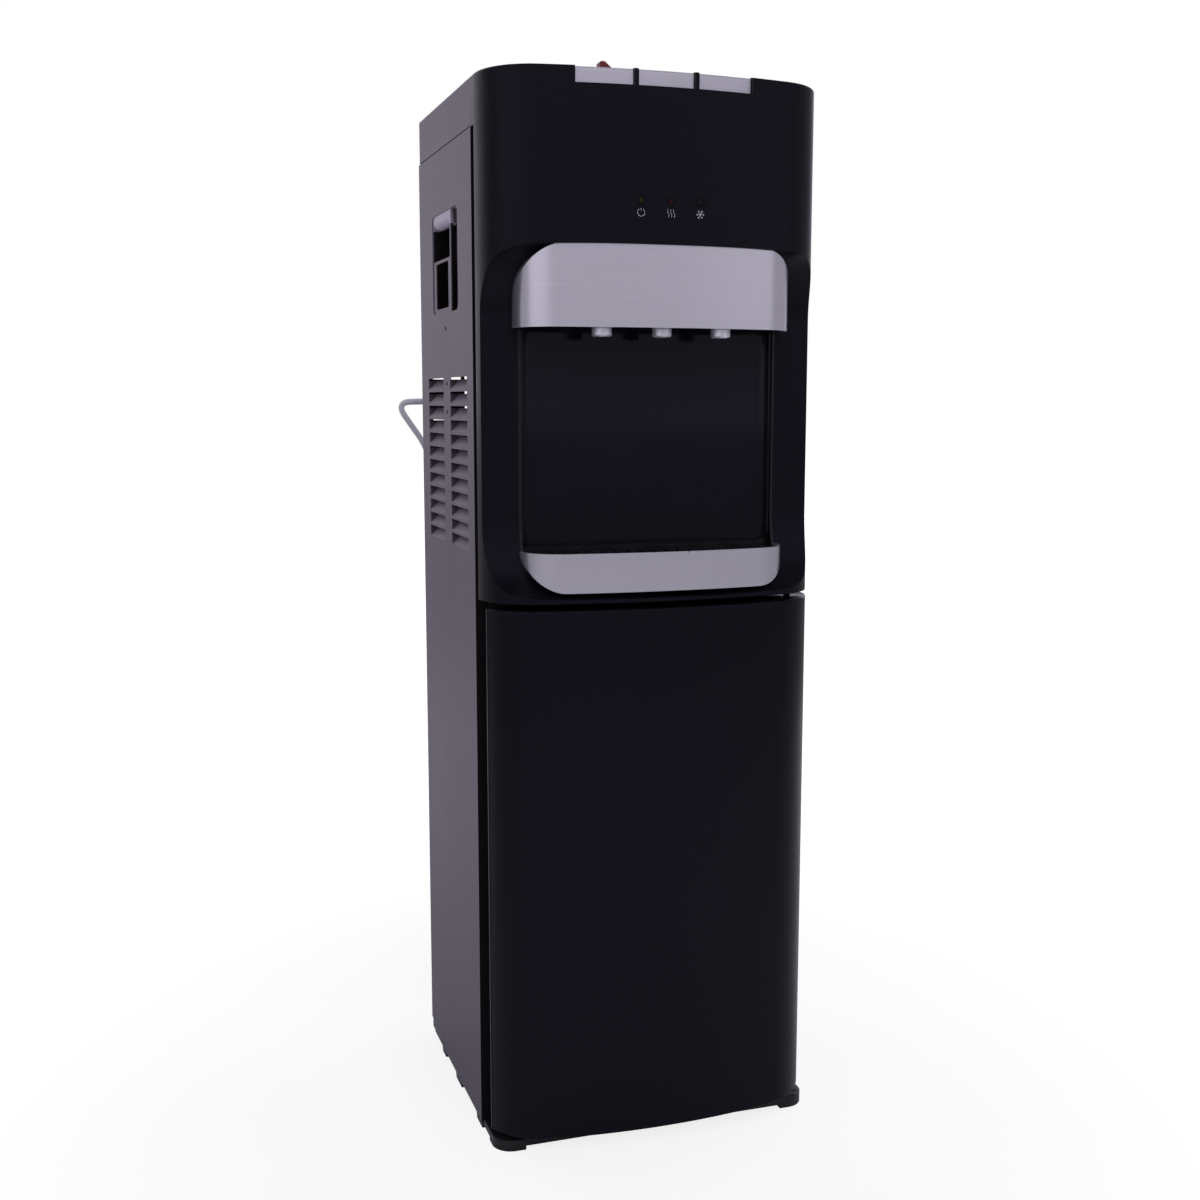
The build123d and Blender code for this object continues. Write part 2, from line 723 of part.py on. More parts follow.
def tap_body(x):
    """Sprung valve: bore for the rod on top, outlet below, spigot to the back."""
    body = post(x, NOZZLE_Y, (DECK_TOP, TAP_TOP), TAP_BODY_RADIUS)
    body += bar_y(x, (NOZZLE_Y, spigot_end()), PIPE_Z, SPIGOT_RADIUS)
    body -= post(x, NOZZLE_Y, (TAP_TOP - TAP_BORE_DEPTH, TAP_TOP), ROD_RADIUS + RUNNING)
    return body - post(x, NOZZLE_Y, (DECK_TOP, PIPE_Z - SPIGOT_RADIUS), NOZZLE_BORE)


def spigot_end():
    return NOZZLE_Y + TAP_BODY_RADIUS + SPIGOT_LENGTH


def nozzle(x):
    """Silver outlet under a tap, drawn in a little at its tip."""
    tip = TAP_BOTTOM - NOZZLE_REACH
    body = post(x, NOZZLE_Y, (tip, DECK_TOP), NOZZLE_RADIUS)
    body = chamfer(body.edges().group_by(Axis.Z)[0], LINER_WALL / 2)
    return body - post(x, NOZZLE_Y, (tip, DECK_TOP), NOZZLE_BORE)


def bay_liner():
    """Recess behind the scoop, with a lower well that the tray slides in."""
    bay = BAY_HALF
    basin = BASIN_HALF + SLIDE_GAP
    well = BASIN_LOW - SLIDE_GAP
    behind = FLANK + COVER_WALL
    deep = (FRONT, LINER_BACK + LINER_WALL)
    hollow = (FRONT - CUT, LINER_BACK)
    shape = wide(bay + LINER_WALL, deep, (BAY_FLOOR - LINER_WALL, BAY_TOP + LINER_WALL))
    shape += wide(basin + LINER_WALL, deep, (well - LINER_WALL, BAY_FLOOR))
    flange = (behind, behind + LINER_WALL)
    shape += wide(bay + LINER_FLANGE, flange, (well - LINER_WALL, BAY_TOP + LINER_WALL))
    room = wide(bay, hollow, (BAY_FLOOR, BAY_TOP))
    room = fillet(room.edges().filter_by(Axis.Z).group_by(Axis.Y)[-1], BAY_ROUND)
    shape -= room
    shape -= wide(basin, hollow, (well, BAY_FLOOR + CUT))
    for x in NOZZLE_X:
        shape -= bar_y(x, (LINER_BACK - CUT, LINER_BACK + CUT), PIPE_Z, PIPE_RADIUS)
    return shape - scoop()


def bent_sheet(half, y, z, radius):
    """Upright block whose two rear corners are rounded in plan."""
    shape = wide(half, y, z)
    return fillet(shape.edges().filter_by(Axis.Z).group_by(Axis.Y)[-1], radius)


def splash_plate():
    """Glossy back plate of the bay, its sides curved forward into the liner's corners."""
    rows = (TRAY_TOP + SPLASH_FOOT, DECK_LOW - SPLASH_GAP)
    half = BAY_HALF - SPLASH_GAP
    front = LINER_BACK - SPLASH_RETURN
    sheet = bent_sheet(half, (front, LINER_BACK), rows, BAY_ROUND)
    sheet -= bent_sheet(half - SPLASH_THICK, (front - CUT, LINER_BACK - SPLASH_THICK), rows,
                        BAY_ROUND - SPLASH_THICK)
    outline = front_panel(half, (rows[0], rows[1] + 2 * SPLASH_ROUND), (FRONT, REAR), SPLASH_ROUND)
    return sheet & outline


def tray_trim():
    """Silver front of the drip tray, with large round lower corners over the scoop's lower end."""
    inside = TRAY.solid(TRIM_WALL, FLANK + CUT, TRAY_BOTTOM - CUT, TRAY_TOP + CUT)
    band = TRAY.solid(0, FLANK - SLIDE_GAP, TRAY_BOTTOM, TRAY_TOP) - inside
    arch = front_panel(TRAY_HALF, (TRAY_BOTTOM, TRAY_TOP + 2 * TRIM_ROUND), (FRONT - CUT, REAR), TRIM_ROUND)
    return band & scoop(-SLIDE_GAP) & arch


def drip_tray():
    """Basin behind the trim, open at the top under the grille."""
    rows = (BASIN_LOW, GRILLE_LOW)
    basin = TRAY.solid(TRIM_WALL, TRAY_BACK, *rows) & wide(BASIN_HALF, (FRONT, REAR), rows)
    room = TRAY.solid(TRIM_WALL + BASIN_WALL, TRAY_BACK - BASIN_WALL, BASIN_LOW + BASIN_WALL, GRILLE_TOP)
    return basin - (room & wide(BASIN_HALF - BASIN_WALL, (FRONT, REAR), (BASIN_LOW, GRILLE_TOP)))


def drip_grille():
    """Black grating with slanted slots, resting on the basin's rim."""
    rows = (GRILLE_LOW, GRILLE_TOP)
    plate = TRAY.solid(TRIM_WALL + TAP_FIT, TRAY_BACK, *rows) & wide(GRILLE_HALF, (FRONT, REAR), rows)
    front = TRAY.y_at(0) + TRIM_WALL + 2 * GRILLE_MARGIN
    length = TRAY_BACK - GRILLE_MARGIN - front
    for i in range(GRILLE_SLOTS):
        x = (i - (GRILLE_SLOTS - 1) / 2) * GRILLE_PITCH
        slot = extrude(Rectangle(length, GRILLE_SLOT, rotation=90 - GRILLE_SLANT), amount=GRILLE_THICK)
        plate -= Pos(x, front + length / 2, GRILLE_LOW) * slot
    return plate


def louvres():
    """Inside bulges of the left panel's louvres, and the spaces that they hold."""
    bulges = []
    spaces = []
    low = MID_SHELF + LOUVRE_RISE
    for column in range(2):
        back = PANEL_BACK - LOUVRE_FROM_BACK - column * LOUVRE_COLUMN_STEP
        along = (back - LOUVRE_LENGTH, back)
        for row in range(LOUVRE_ROWS):
            z = low + row * LOUVRE_PITCH
            lip = z + LOUVRE_HEIGHT - LOUVRE_SLIT
            deep = -HALF + LOUVRE_DEPTH
            bulge = [(-HALF, z - SHEET), (deep + SHEET, lip), (-HALF, lip)]
            space = [(-HALF - CUT, z), (-HALF, z), (deep, lip), (deep, z + LOUVRE_HEIGHT),
                     (-HALF - CUT, z + LOUVRE_HEIGHT)]
            bulges.append(cross_prism(bulge, (along[0] - SHEET, along[1] + SHEET)))
            spaces.append(cross_prism(space, along))
    return bulges, spaces


def grip_window():
    """Hand grip's window in the side panel, as its y and z ends."""
    back = PANEL_BACK - GRIP_FROM_BACK
    top = SEAM_Z - GRIP_DROP
    return (back - GRIP_LENGTH, back), (top - GRIP_HEIGHT, top)


def left_side_panel():
    """Folded sheet with pressed louvres and the window of the hand grip."""
    z = (FOOT_HEIGHT, SEAM_Z)
    sheet = block((-HALF, -HALF + FLANGE), (PANEL_FRONT, PANEL_BACK), z)
    sheet -= block((-INNER_HALF, HALF), (FRAME_FRONT, BACK_WALL), (0, HEIGHT))
    bulges, spaces = louvres()
    sheet = sheet + bulges - spaces
    along, rise = grip_window()
    sheet -= side_panel_hole(along, rise, GRIP_ROUND, (-HALF - CUT, -INNER_HALF + CUT))
    notch = (FOOT_HEIGHT - CUT, FOOT_HEIGHT + PANEL_NOTCH_HEIGHT)
    return sheet - block((-HALF - CUT, 0), (PANEL_BACK - PANEL_NOTCH, REAR), notch)


def left_handle():
    """Hand grip moulding: a cup with a windowed plate and a rounded lip across its mouth."""
    along, rise = grip_window()
    mouth = -INNER_HALF
    floor = mouth + GRIP_DEPTH
    cup_y = (along[0] - GRIP_WALL, along[1] + GRIP_WALL)
    cup_z = (rise[0] - GRIP_WALL, rise[1] + GRIP_WALL)
    edge_y = (along[0] - GRIP_FLANGE, along[1] + GRIP_FLANGE)
    edge_z = (rise[0] - GRIP_FLANGE, rise[1] + GRIP_FLANGE)
    cup = side_panel_hole(cup_y, cup_z, GRIP_ROUND + GRIP_WALL, (mouth, floor + GRIP_WALL))
    cup += block((mouth, mouth + GRIP_WALL), edge_y, edge_z)
    cup -= side_panel_hole(along, rise, GRIP_ROUND, (mouth - CUT, floor))
    plate_y = (along[0] + GRIP_SLOT, along[1] + GRIP_WALL / 2)
    plate = block((mouth, mouth + GRIP_PLATE), plate_y, (rise[0] - GRIP_WALL / 2, rise[1] + GRIP_WALL / 2))
    through = (mouth - CUT, mouth + CUT)
    window_y = (plate_y[0] + GRIP_WINDOW_EDGE, along[1])
    lower_y = (window_y[0] + GRIP_LOWER_INSET, window_y[1] - GRIP_WINDOW_EDGE - GRIP_LOWER_INSET)
    low = rise[0] + GRIP_WINDOW_EDGE
    ledge = low + GRIP_LOWER_WINDOW
    upper = ledge + GRIP_LEDGE
    lip_low = upper + GRIP_UPPER_WINDOW
    plate -= side_panel_hole(lower_y, (low, ledge), GRIP_LEDGE, through)
    plate -= block(through, window_y, (upper, rise[1]))
    lip = block((mouth, mouth + GRIP_LIP), window_y, (lip_low, rise[1] + GRIP_WALL / 2))
    outer_edge = lip.edges().filter_by(Axis.Y).group_by(Axis.Z)[0].sort_by(Axis.X)[0]
    lip = fillet(outer_edge, GRIP_LIP_ROUND)
    return cup + plate + lip


def top_cover():
    """Grey lid with a skirt on three sides, a lip inside the side panels and a groove above them."""
    y = (PANEL_FRONT, PANEL_BACK)
    lid = wide(HALF, y, (SEAM_Z, HEIGHT))
    rear_corners = lid.edges().filter_by(Axis.Z).group_by(Axis.Y)[-1]
    lid = fillet(rear_corners, TOP_ROUND)
    rims = lid.edges().group_by(Axis.Z)[-1]
    lid = fillet(rims.filter_by(lambda e: e.center().Y > PANEL_FRONT + SHEET), TOP_ROUND / 2)
    room = (SEAM_Z - CUT, HEIGHT - TOP_WALL)
    lid -= wide(HALF - TOP_WALL, (PANEL_FRONT - CUT, PANEL_BACK - TOP_WALL), room)
    outer = INNER_HALF - SEAM
    along = (SHELF_FRONT, PANEL_BACK - SHELF_SETBACK)
    for side in (-1, 1):
        ends = sorted((side * outer, side * (outer - TOP_LIP_WALL)))
        lid += block(ends, along, (SEAM_Z - TOP_LIP, SEAM_Z + TOP_LIP / 2))
        groove = sorted((side * outer, side * (HALF + CUT)))
        lid -= block(groove, (PANEL_FRONT - CUT, PANEL_BACK + CUT), (SEAM_Z - SEAM, SEAM_Z + LID_GROOVE))
    return lid


def base_pan():
    """Moulded floor pan with ribs below, side pads, and a lip under the door."""
    rows = (FOOT_HEIGHT, BASE_TOP)
    pan = wide(INNER_HALF, (FRAME_FRONT, BACK_WALL), rows)
    inside = (FRAME_FRONT + BASE_WALL, BACK_WALL - BASE_WALL)
    pan -= wide(INNER_HALF - BASE_WALL, inside, (0, BASE_TOP - BASE_WALL))
    sill = (BASE_TOP - BASE_WALL, BASE_TOP + SILL_HEIGHT)
    pan += wide(OPENING_HALF, (FRAME_FRONT, FRAME_FRONT + SILL_THICK), sill)
    half = HALF - BASE_FRONT_INSET
    front = FRONT + BASE_REACH
    lip = wide(half, (front, PANEL_FRONT), (0, LIP_TOP))
    lip = fillet(lip.edges().filter_by(Axis.Z).group_by(Axis.Y)[0], BASE_ROUND)
    feet_gap = (half - CORNER_FOOT, (front - CUT, PANEL_FRONT + CUT), (-CUT, LIP_BOTTOM))
    lip -= wide(*feet_gap)
    lip -= wide(HALF, (front + CORNER_FOOT, PANEL_FRONT + CUT), (-CUT, LIP_BOTTOM))
    pan += lip
    pan += wide(HALF - FLANGE, (PANEL_FRONT - CUT, FRAME_FRONT + BASE_WALL), (FOOT_HEIGHT, LIP_TOP))
    step = (inside[1] - inside[0]) / (BASE_RIBS + 1)
    for i in range(BASE_RIBS):
        y = inside[0] + (i + 1) * step
        pan += wide(INNER_HALF, (y - BASE_WALL / 2, y + BASE_WALL / 2), rows)
    for setback, length in SIDE_PADS:
        y = PANEL_BACK - setback
        pad = [(y, 0), (y - length, 0), (y - length - PAD_SLOPE, BASE_TOP), (y + PAD_SLOPE, BASE_TOP)]
        for side in (-1, 1):
            foot = side_prism(pad, sorted((side * INNER_HALF, side * (INNER_HALF - PAD_WIDTH))))
            pan += foot & wide(INNER_HALF, (FRAME_FRONT, BACK_WALL), (0, BASE_TOP))
    return pan


def front_uprights():
    """Posts inside the side panels that carry the door frame and the front cover."""
    posts = []
    for side in (-1, 1):
        rows = (BASE_TOP, SEAM_Z - TOP_LIP)
        outer = sorted((side * INNER_HALF, side * OPENING_HALF))
        inner = sorted((side * (INNER_HALF - SHEET), side * (OPENING_HALF + SHEET)))
        channel = block(outer, (FRAME_FRONT, FRAME_BACK), rows)
        posts.append(channel - block(inner, (FRAME_FRONT + SHEET, FRAME_BACK), rows))
    return posts[0] + posts[1]


def door_header():
    """Rail across the top of the door opening."""
    rail = wide(OPENING_HALF, (FRAME_FRONT, FRAME_BACK), (HEADER_LOW, HEADER_TOP))
    room = (HEADER_LOW + SHEET, HEADER_TOP - SHEET)
    return rail - wide(OPENING_HALF, (FRAME_FRONT + SHEET, FRAME_BACK), room)


def upper_hinge():
    """Bracket on the right upright with a pin down into the door."""
    plate_low = DOOR_TOP + HINGE_LIFT
    plate_top = plate_low + HINGE_PLATE
    right = HALF - FLANGE - SEAM
    ends = (right - HINGE_WIDTH, right)
    arm = block(ends, (HINGE_Y - HINGE_NOSE, FRAME_FRONT), (plate_low, plate_top))
    arm += block(ends, (FRAME_FRONT - HINGE_PLATE, FRAME_FRONT), (plate_top - HINGE_LEG, plate_top))
    return arm + post(HINGE_X, HINGE_Y, (DOOR_TOP - PIN_DEPTH, plate_top), PIN_RADIUS)


def lower_hinge():
    """Plate on the base lip with a pin up into the door."""
    right = HALF - FLANGE - SEAM
    nose = HINGE_Y - HINGE_NOSE
    plate = block((right - HINGE_WIDTH, right), (nose, nose + LOWER_HINGE_LENGTH),
                  (LIP_TOP, LIP_TOP + LOWER_HINGE))
    return plate + post(HINGE_X, HINGE_Y, (LIP_TOP, DOOR_BOTTOM + PIN_DEPTH), PIN_RADIUS)


def door_outer():
    """Bowed door skin with bosses for the hinge pins."""
    skin = BODY.solid(0, SKIRT_BACK, DOOR_BOTTOM, DOOR_TOP)
    rims = [e for g in (0, -1) for e in skin.edges().group_by(Axis.Z)[g] if e.center().Y < SKIRT_BACK - SEAM]
    skin = fillet(rims, DOOR_EDGE)
    skin -= BODY.solid(DOOR_WALL, SKIRT_BACK + CUT, DOOR_BOTTOM + DOOR_WALL, DOOR_TOP - DOOR_WALL)
    deep = PIN_DEPTH + DOOR_WALL
    for z, bore in (((DOOR_TOP - deep, DOOR_TOP), (DOOR_TOP - PIN_DEPTH - SEAM, DOOR_TOP)),
                    ((DOOR_BOTTOM, DOOR_BOTTOM + deep), (DOOR_BOTTOM, DOOR_BOTTOM + PIN_DEPTH + SEAM))):
        skin += post(HINGE_X, HINGE_Y, z, BOSS_RADIUS)
        skin -= post(HINGE_X, HINGE_Y, bore, PIN_RADIUS + RUNNING)
    return skin


def door_inner():
    """Inner door pan, set in from the skin so that fingers can pull the door's edge."""
    half = HALF - DOOR_PLATE_INSET
    plate = wide(half, (SKIRT_BACK, SKIRT_BACK + TUB_WALL), (DOOR_BOTTOM + SEAM, DOOR_TOP - SEAM))
    rows = (DOOR_BOTTOM + TUB_MARGIN, DOOR_TOP - TUB_MARGIN)
    tub_half = HALF - TUB_INSET
    tub = wide(tub_half, (SKIRT_BACK, TUB_BACK), rows)
    tub = fillet(tub.edges().group_by(Axis.Y)[-1], TUB_ROUND)
    room = (rows[0] + TUB_WALL, rows[1] - TUB_WALL)
    return plate + tub - wide(tub_half - TUB_WALL, (SKIRT_BACK - CUT, TUB_BACK - TUB_WALL), room)


def door_gasket():
    """Magnetic seal round the back of the door pan."""
    half = OPENING_HALF + GASKET_WIDTH
    z = (BASE_TOP + GASKET_OVERLAP, HEADER_LOW + GASKET_OVERLAP + GASKET_WIDTH)
    y = (TUB_BACK, FRAME_FRONT - GASKET_GAP)
    inner = (z[0] + GASKET_WIDTH, z[1] - GASKET_WIDTH)
    return wide(half, y, z) - wide(half - GASKET_WIDTH, (y[0] - CUT, y[1] + CUT), inner)


def shelf(top, holes):
    """Steel shelf between the side panels, with turned-up edges and the given round holes."""
    y = (SHELF_FRONT, BACK_WALL - SHEET)
    tray = wide(INNER_HALF, y, (top - SHELF_THICK, top + 3 * SHELF_THICK))
    tray -= wide(INNER_HALF - SHEET, (y[0] + SHEET, y[1] + CUT), (top, top + CUT + 3 * SHELF_THICK))
    for x, hole_y, radius in holes:
        tray -= post(x, hole_y, (top - CUT, top + CUT), radius)
    return tray


def rear_panel(low, high):
    """Flat sheet on the inside of the side panels' rear flanges."""
    return wide(INNER_HALF, (BACK_WALL - SHEET, BACK_WALL), (low, high))


def switch_places():
    return (SWITCH_X - SWITCH_PITCH / 2, SWITCH_X + SWITCH_PITCH / 2), TANK_SHELF + SWITCH_RISE


def upper_rear_panel():
    """Sheet behind the tanks, with windows for the two switches."""
    panel = rear_panel(TANK_SHELF - SHELF_THICK, SEAM_Z)
    places, z = switch_places()
    for x in places:
        panel -= block((x - SWITCH_WIDTH / 2, x + SWITCH_WIDTH / 2), (BACK_WALL - CUT, PANEL_BACK),
                       (z - SWITCH_HEIGHT / 2, z + SWITCH_HEIGHT / 2))
    return panel


def switch_cases():
    """Two snap-in switch housings with open wells."""
    places, z = switch_places()
    cases = []
    for x in places:
        half = SWITCH_WIDTH / 2
        tall = SWITCH_HEIGHT / 2
        outer = BACK_WALL + SWITCH_BEZEL
        case = block((x - half, x + half), (outer - SWITCH_DEPTH, outer), (z - tall, z + tall))
        case += block((x - half - SWITCH_RIM, x + half + SWITCH_RIM), (BACK_WALL, outer),
                      (z - tall - SWITCH_RIM, z + tall + SWITCH_RIM))
        case -= block((x - half + SWITCH_RIM, x + half - SWITCH_RIM), (outer - SWITCH_WELL, outer + CUT),
                      (z - tall + SWITCH_RIM, z + tall - SWITCH_RIM))
        case -= bar_x((x - half, x + half), rocker_y(), z, ROCKER_PIN + RUNNING)
        cases.append(case)
    return cases[0] + cases[1]


def rocker_y():
    return BACK_WALL + SWITCH_BEZEL - ROCKER_SINK


def rocker(x):
    """Rocker on its pin in the well, tilted to one of its two places."""
    z = switch_places()[1]
    half = SWITCH_WIDTH / 2 - SWITCH_RIM - ROCKER_GAP
    tall = SWITCH_HEIGHT / 2 - SWITCH_RIM - 2 * ROCKER_GAP
    outline = [(-ROCKER_ROOT, -tall / 2), (ROCKER_ROOT, -tall), (ROCKER_HORN, -tall), (ROCKER_DIP, 0),
               (ROCKER_HORN, tall), (ROCKER_ROOT, tall), (-ROCKER_ROOT, tall / 2)]
    pin = bar_x((-SWITCH_WIDTH / 2, SWITCH_WIDTH / 2), 0, 0, ROCKER_PIN)
    return Pos(x, rocker_y(), z) * Rot(-ROCKER_TILT, 0, 0) * (side_prism(outline, (-half, half)) + pin)


def compressor():
    """Welded steel pot on its mounting plate."""
    y = PANEL_BACK - COMPRESSOR_FROM_BACK
    low = MID_SHELF + GROMMET_HEIGHT
    plate_top = low + COMPRESSOR_PLATE_THICK
    half = COMPRESSOR_PLATE / 2
    plate = block((COMPRESSOR_X - half, COMPRESSOR_X + half), (y - half, y + half), (low, plate_top))
    pot = post(COMPRESSOR_X, y, (plate_top, low + COMPRESSOR_HEIGHT), COMPRESSOR_RADIUS)
    pot = chamfer(pot.edges().group_by(Axis.Z)[-1], COMPRESSOR_SHOULDER)
    middle = low + COMPRESSOR_HEIGHT / 2
    pot += post(COMPRESSOR_X, y, (middle, middle + COMPRESSOR_SEAM), COMPRESSOR_RADIUS + COMPRESSOR_SEAM)
    return plate + pot


def compressor_grommets():
    """Four rubber feet between the compressor's plate and the shelf."""
    y = PANEL_BACK - COMPRESSOR_FROM_BACK
    reach = GROMMET_PITCH / 2
    corners = [(COMPRESSOR_X + i * reach, y + j * reach) for i in (-1, 1) for j in (-1, 1)]
    feet = [post(x, fy, (MID_SHELF, MID_SHELF + GROMMET_HEIGHT), GROMMET_RADIUS) for x, fy in corners]
    return Compound(children=feet)


def condenser_tube():
    """One serpentine tube across the back, run by run."""
    edges = []
    bend = TUBE_PITCH / 2
    for run in range(TUBE_RUNS):
        z = TUBE_LOW + run * TUBE_PITCH
        side = 1 if run % 2 == 0 else -1
        edges.append(Line((-side * TUBE_HALF, TUBE_Y, z), (side * TUBE_HALF, TUBE_Y, z)))
        if run < TUBE_RUNS - 1:
            edges.append(ThreePointArc((side * TUBE_HALF, TUBE_Y, z),
                                       (side * (TUBE_HALF + bend), TUBE_Y, z + bend),
                                       (side * TUBE_HALF, TUBE_Y, z + TUBE_PITCH)))
    start = Plane((-TUBE_HALF, TUBE_Y, TUBE_LOW), z_dir=(1, 0, 0))
    return sweep(start * RegularPolygon(TUBE_RADIUS, TUBE_SIDES), path=Wire(edges))


def condenser_wires():
    """Upright wires on both sides of the condenser tube."""
    low = TUBE_LOW - WIRE_OVERRUN
    high = TUBE_LOW + (TUBE_RUNS - 1) * TUBE_PITCH + WIRE_OVERRUN
    offset = TUBE_RADIUS + WIRE_GAP + WIRE_RADIUS
    wire = extrude(RegularPolygon(WIRE_RADIUS, WIRE_SIDES, rotation=90), amount=high - low)
    wires = []
    for i in range(WIRES):
        x = (i - (WIRES - 1) / 2) * WIRE_PITCH
        for y in (TUBE_Y - offset, TUBE_Y + offset):
            wires.append(Pos(x, y, low) * wire)
    return Compound(children=wires)


def condenser_clips():
    """Four bent strips from the side panels' rear flanges to the condenser tube."""
    right = HALF - CLIP_THICK
    web = HALF - CLIP_INSET
    seat = TUBE_Y - TUBE_RADIUS
    tip = HALF - CLIP_REACH
    foot = PANEL_BACK
    outline = [(right, foot), (right, foot + CLIP_THICK), (web + CLIP_THICK, foot + CLIP_THICK),
               (web + CLIP_THICK, seat), (tip, seat), (tip, seat - CLIP_THICK), (web, seat - CLIP_THICK),
               (web, foot)]
    strip = extrude(make_face(Polyline(*outline, close=True)), amount=CLIP_HEIGHT, dir=(0, 0, 1))
    clips = []
    for run in (1, TUBE_RUNS - 2):
        clip = Pos(0, 0, TUBE_LOW + run * TUBE_PITCH - CLIP_HEIGHT / 2) * strip
        clips += [clip, mirror(clip, about=Plane.YZ)]
    return Compound(children=clips)


def tank(x, radius, height):
    """Upright tank with sloping shoulders, on the tank shelf."""
    body = post(x, TANK_Y, (TANK_SHELF, TANK_SHELF + height), radius)
    return chamfer(body.edges().filter_by(GeomType.CIRCLE), TANK_SHOULDER)


def water_pump():
    """Pump on the middle shelf: inlet down to the bottle space, outlet up."""
    top = MID_SHELF + PUMP_HEIGHT
    body = post(0, PUMP_Y, (MID_SHELF, top), PUMP_RADIUS)
    body = chamfer(body.edges().group_by(Axis.Z)[-1], PUMP_SHOULDER)
    body += post(0, PUMP_Y, (top - CUT, top + PUMP_SPIGOT), PIPE_RADIUS)
    return body + post(0, PUMP_Y, (MID_SHELF - INLET_LENGTH, MID_SHELF + CUT), PIPE_RADIUS)


def water_pipes():
    """Hot, plain and cold water pipes from the tanks and the pump to the taps."""
    start = spigot_end()
    pipes = []
    for x, centre, radius in ((NOZZLE_X[0], HOT_TANK_X, HOT_TANK_RADIUS),
                              (NOZZLE_X[2], COLD_TANK_X, COLD_TANK_RADIUS)):
        full = bar_y(x, (start, TANK_Y), PIPE_Z, PIPE_RADIUS)
        pipes.append(full - post(centre, TANK_Y, (TANK_SHELF, HEIGHT), radius))
    top = MID_SHELF + PUMP_HEIGHT + PUMP_SPIGOT
    route = FilletPolyline((0, start, PIPE_Z), (0, PUMP_Y, PIPE_Z), (0, PUMP_Y, top), radius=PIPE_BEND)
    section = Plane((0, start, PIPE_Z), z_dir=(0, 1, 0)) * Circle(PIPE_RADIUS)
    return Compound(children=[*pipes, sweep(section, path=route)])


def control_box():
    """Relay box hung under the tank shelf."""
    top = TANK_SHELF - SHELF_THICK
    half = BOX_WIDTH / 2
    box = block((BOX_X - half, BOX_X + half), (BOX_BACK - BOX_LENGTH, BOX_BACK), (top - BOX_HEIGHT, top))
    return fillet(box.edges().filter_by(Axis.Z), BOX_ROUND)


def cord_gland():
    """Collar and tapered strain relief where the cord leaves the relay box."""
    collar = bar_y(BOX_X, (BOX_BACK, BOX_BACK + GLAND_PLATE), GLAND_Z, GLAND_RADIUS)
    taper = Pos(BOX_X, BOX_BACK + GLAND_PLATE + GLAND_LENGTH / 2, GLAND_Z) * Rot(-90, 0, 0)
    return collar + taper * Cone(GLAND_RADIUS * 2 / 3, GLAND_TIP, GLAND_LENGTH)


def cord_points():
    """Route of the free cord from the gland to the first turn of the coil."""
    outlet = Vector(BOX_X, GLAND_END, GLAND_Z)
    landing = Vector(*COIL_START, COIL_LOW) - Vector(2 * CORD_RADIUS, 0, 0)
    bends = [Vector(*p) for p in CORD_BENDS]
    return [outlet, outlet + Vector(0, CORD_LEAD, 0), *bends, landing - Vector(CORD_LAND, 0, 0), landing]


def cord_section():
    """Eight-sided section that stands in for the round cord."""
    return RegularPolygon(CORD_RADIUS, CORD_SIDES)


def power_cord():
    """Free cord: straight runs joined by arcs as large as the runs allow."""
    points = cord_points()
    runs = [b - a for a, b in zip(points, points[1:])]
    radii = []
    for before, after in zip(runs, runs[1:]):
        turn = math.radians(before.get_angle(after))
        radii.append(0.45 * min(before.length, after.length) / math.tan(turn / 2))
    path = FilletPolyline(*points, radius=radii)
    section = Plane(points[0], z_dir=runs[0]) * cord_section()
    cord = sweep(section, path=path)
    ratio = cord.volume / (section.area * path.length)
    print("cord radii", [round(r, 1) for r in radii], "volume over section", round(ratio, 4))
    print("cord length", round(path.length, 1))
    return cord


def coil_edges():
    """Half turns that spiral in on the floor, climb a layer, and spiral out again."""
    up = Vector(0, 0, 1)
    heading = Vector(1, 0, 0)
    point = Vector(*COIL_START, COIL_LOW)
    edges = [Line(point - heading * 2 * CORD_RADIUS, point)]
    inward = [COIL_OUTER - i * COIL_PITCH / 2 for i in range(COIL_HALF_TURNS)]
    inner = COIL_OUTER - COIL_HALF_TURNS * COIL_PITCH / 2
    for radius in [*inward, inner, *reversed(inward)]:
        left = up.cross(heading)
        rise = up * (COIL_HIGH - COIL_LOW) if radius == inner else Vector(0, 0, 0)
        end = point + left * 2 * radius + rise
        reach = math.hypot(radius, rise.length / 2)
        crest = point + left * radius + heading * reach + rise / 2
        edges.append(TangentArc(point, crest, tangent=heading))
        edges.append(TangentArc(crest, end, tangent=left * 2 * radius + rise))
        point = end
        heading = heading * -1
    edges.append(Line(point, point + heading * COIL_TAIL))
    return edges


def coil_gap(edges):
    """Least gap between turns, measured on points along the coil."""
    spots = [edge.position_at(i / 12) for edge in edges for i in range(12)]
    apart = [(a - b).length for i, a in enumerate(spots) for b in spots[i + 24:]]
    return min(apart) - 2 * CORD_RADIUS


def cord_coil():
    """Spare cord in two layers of loops on the floor behind the dispenser."""
    edges = coil_edges()
    path = Wire(edges)
    start = Plane(edges[0] @ 0, z_dir=(1, 0, 0))
    print("coil length", round(path.length, 1), "least gap", round(coil_gap(edges), 2))
    return sweep(start * cord_section(), path=path)


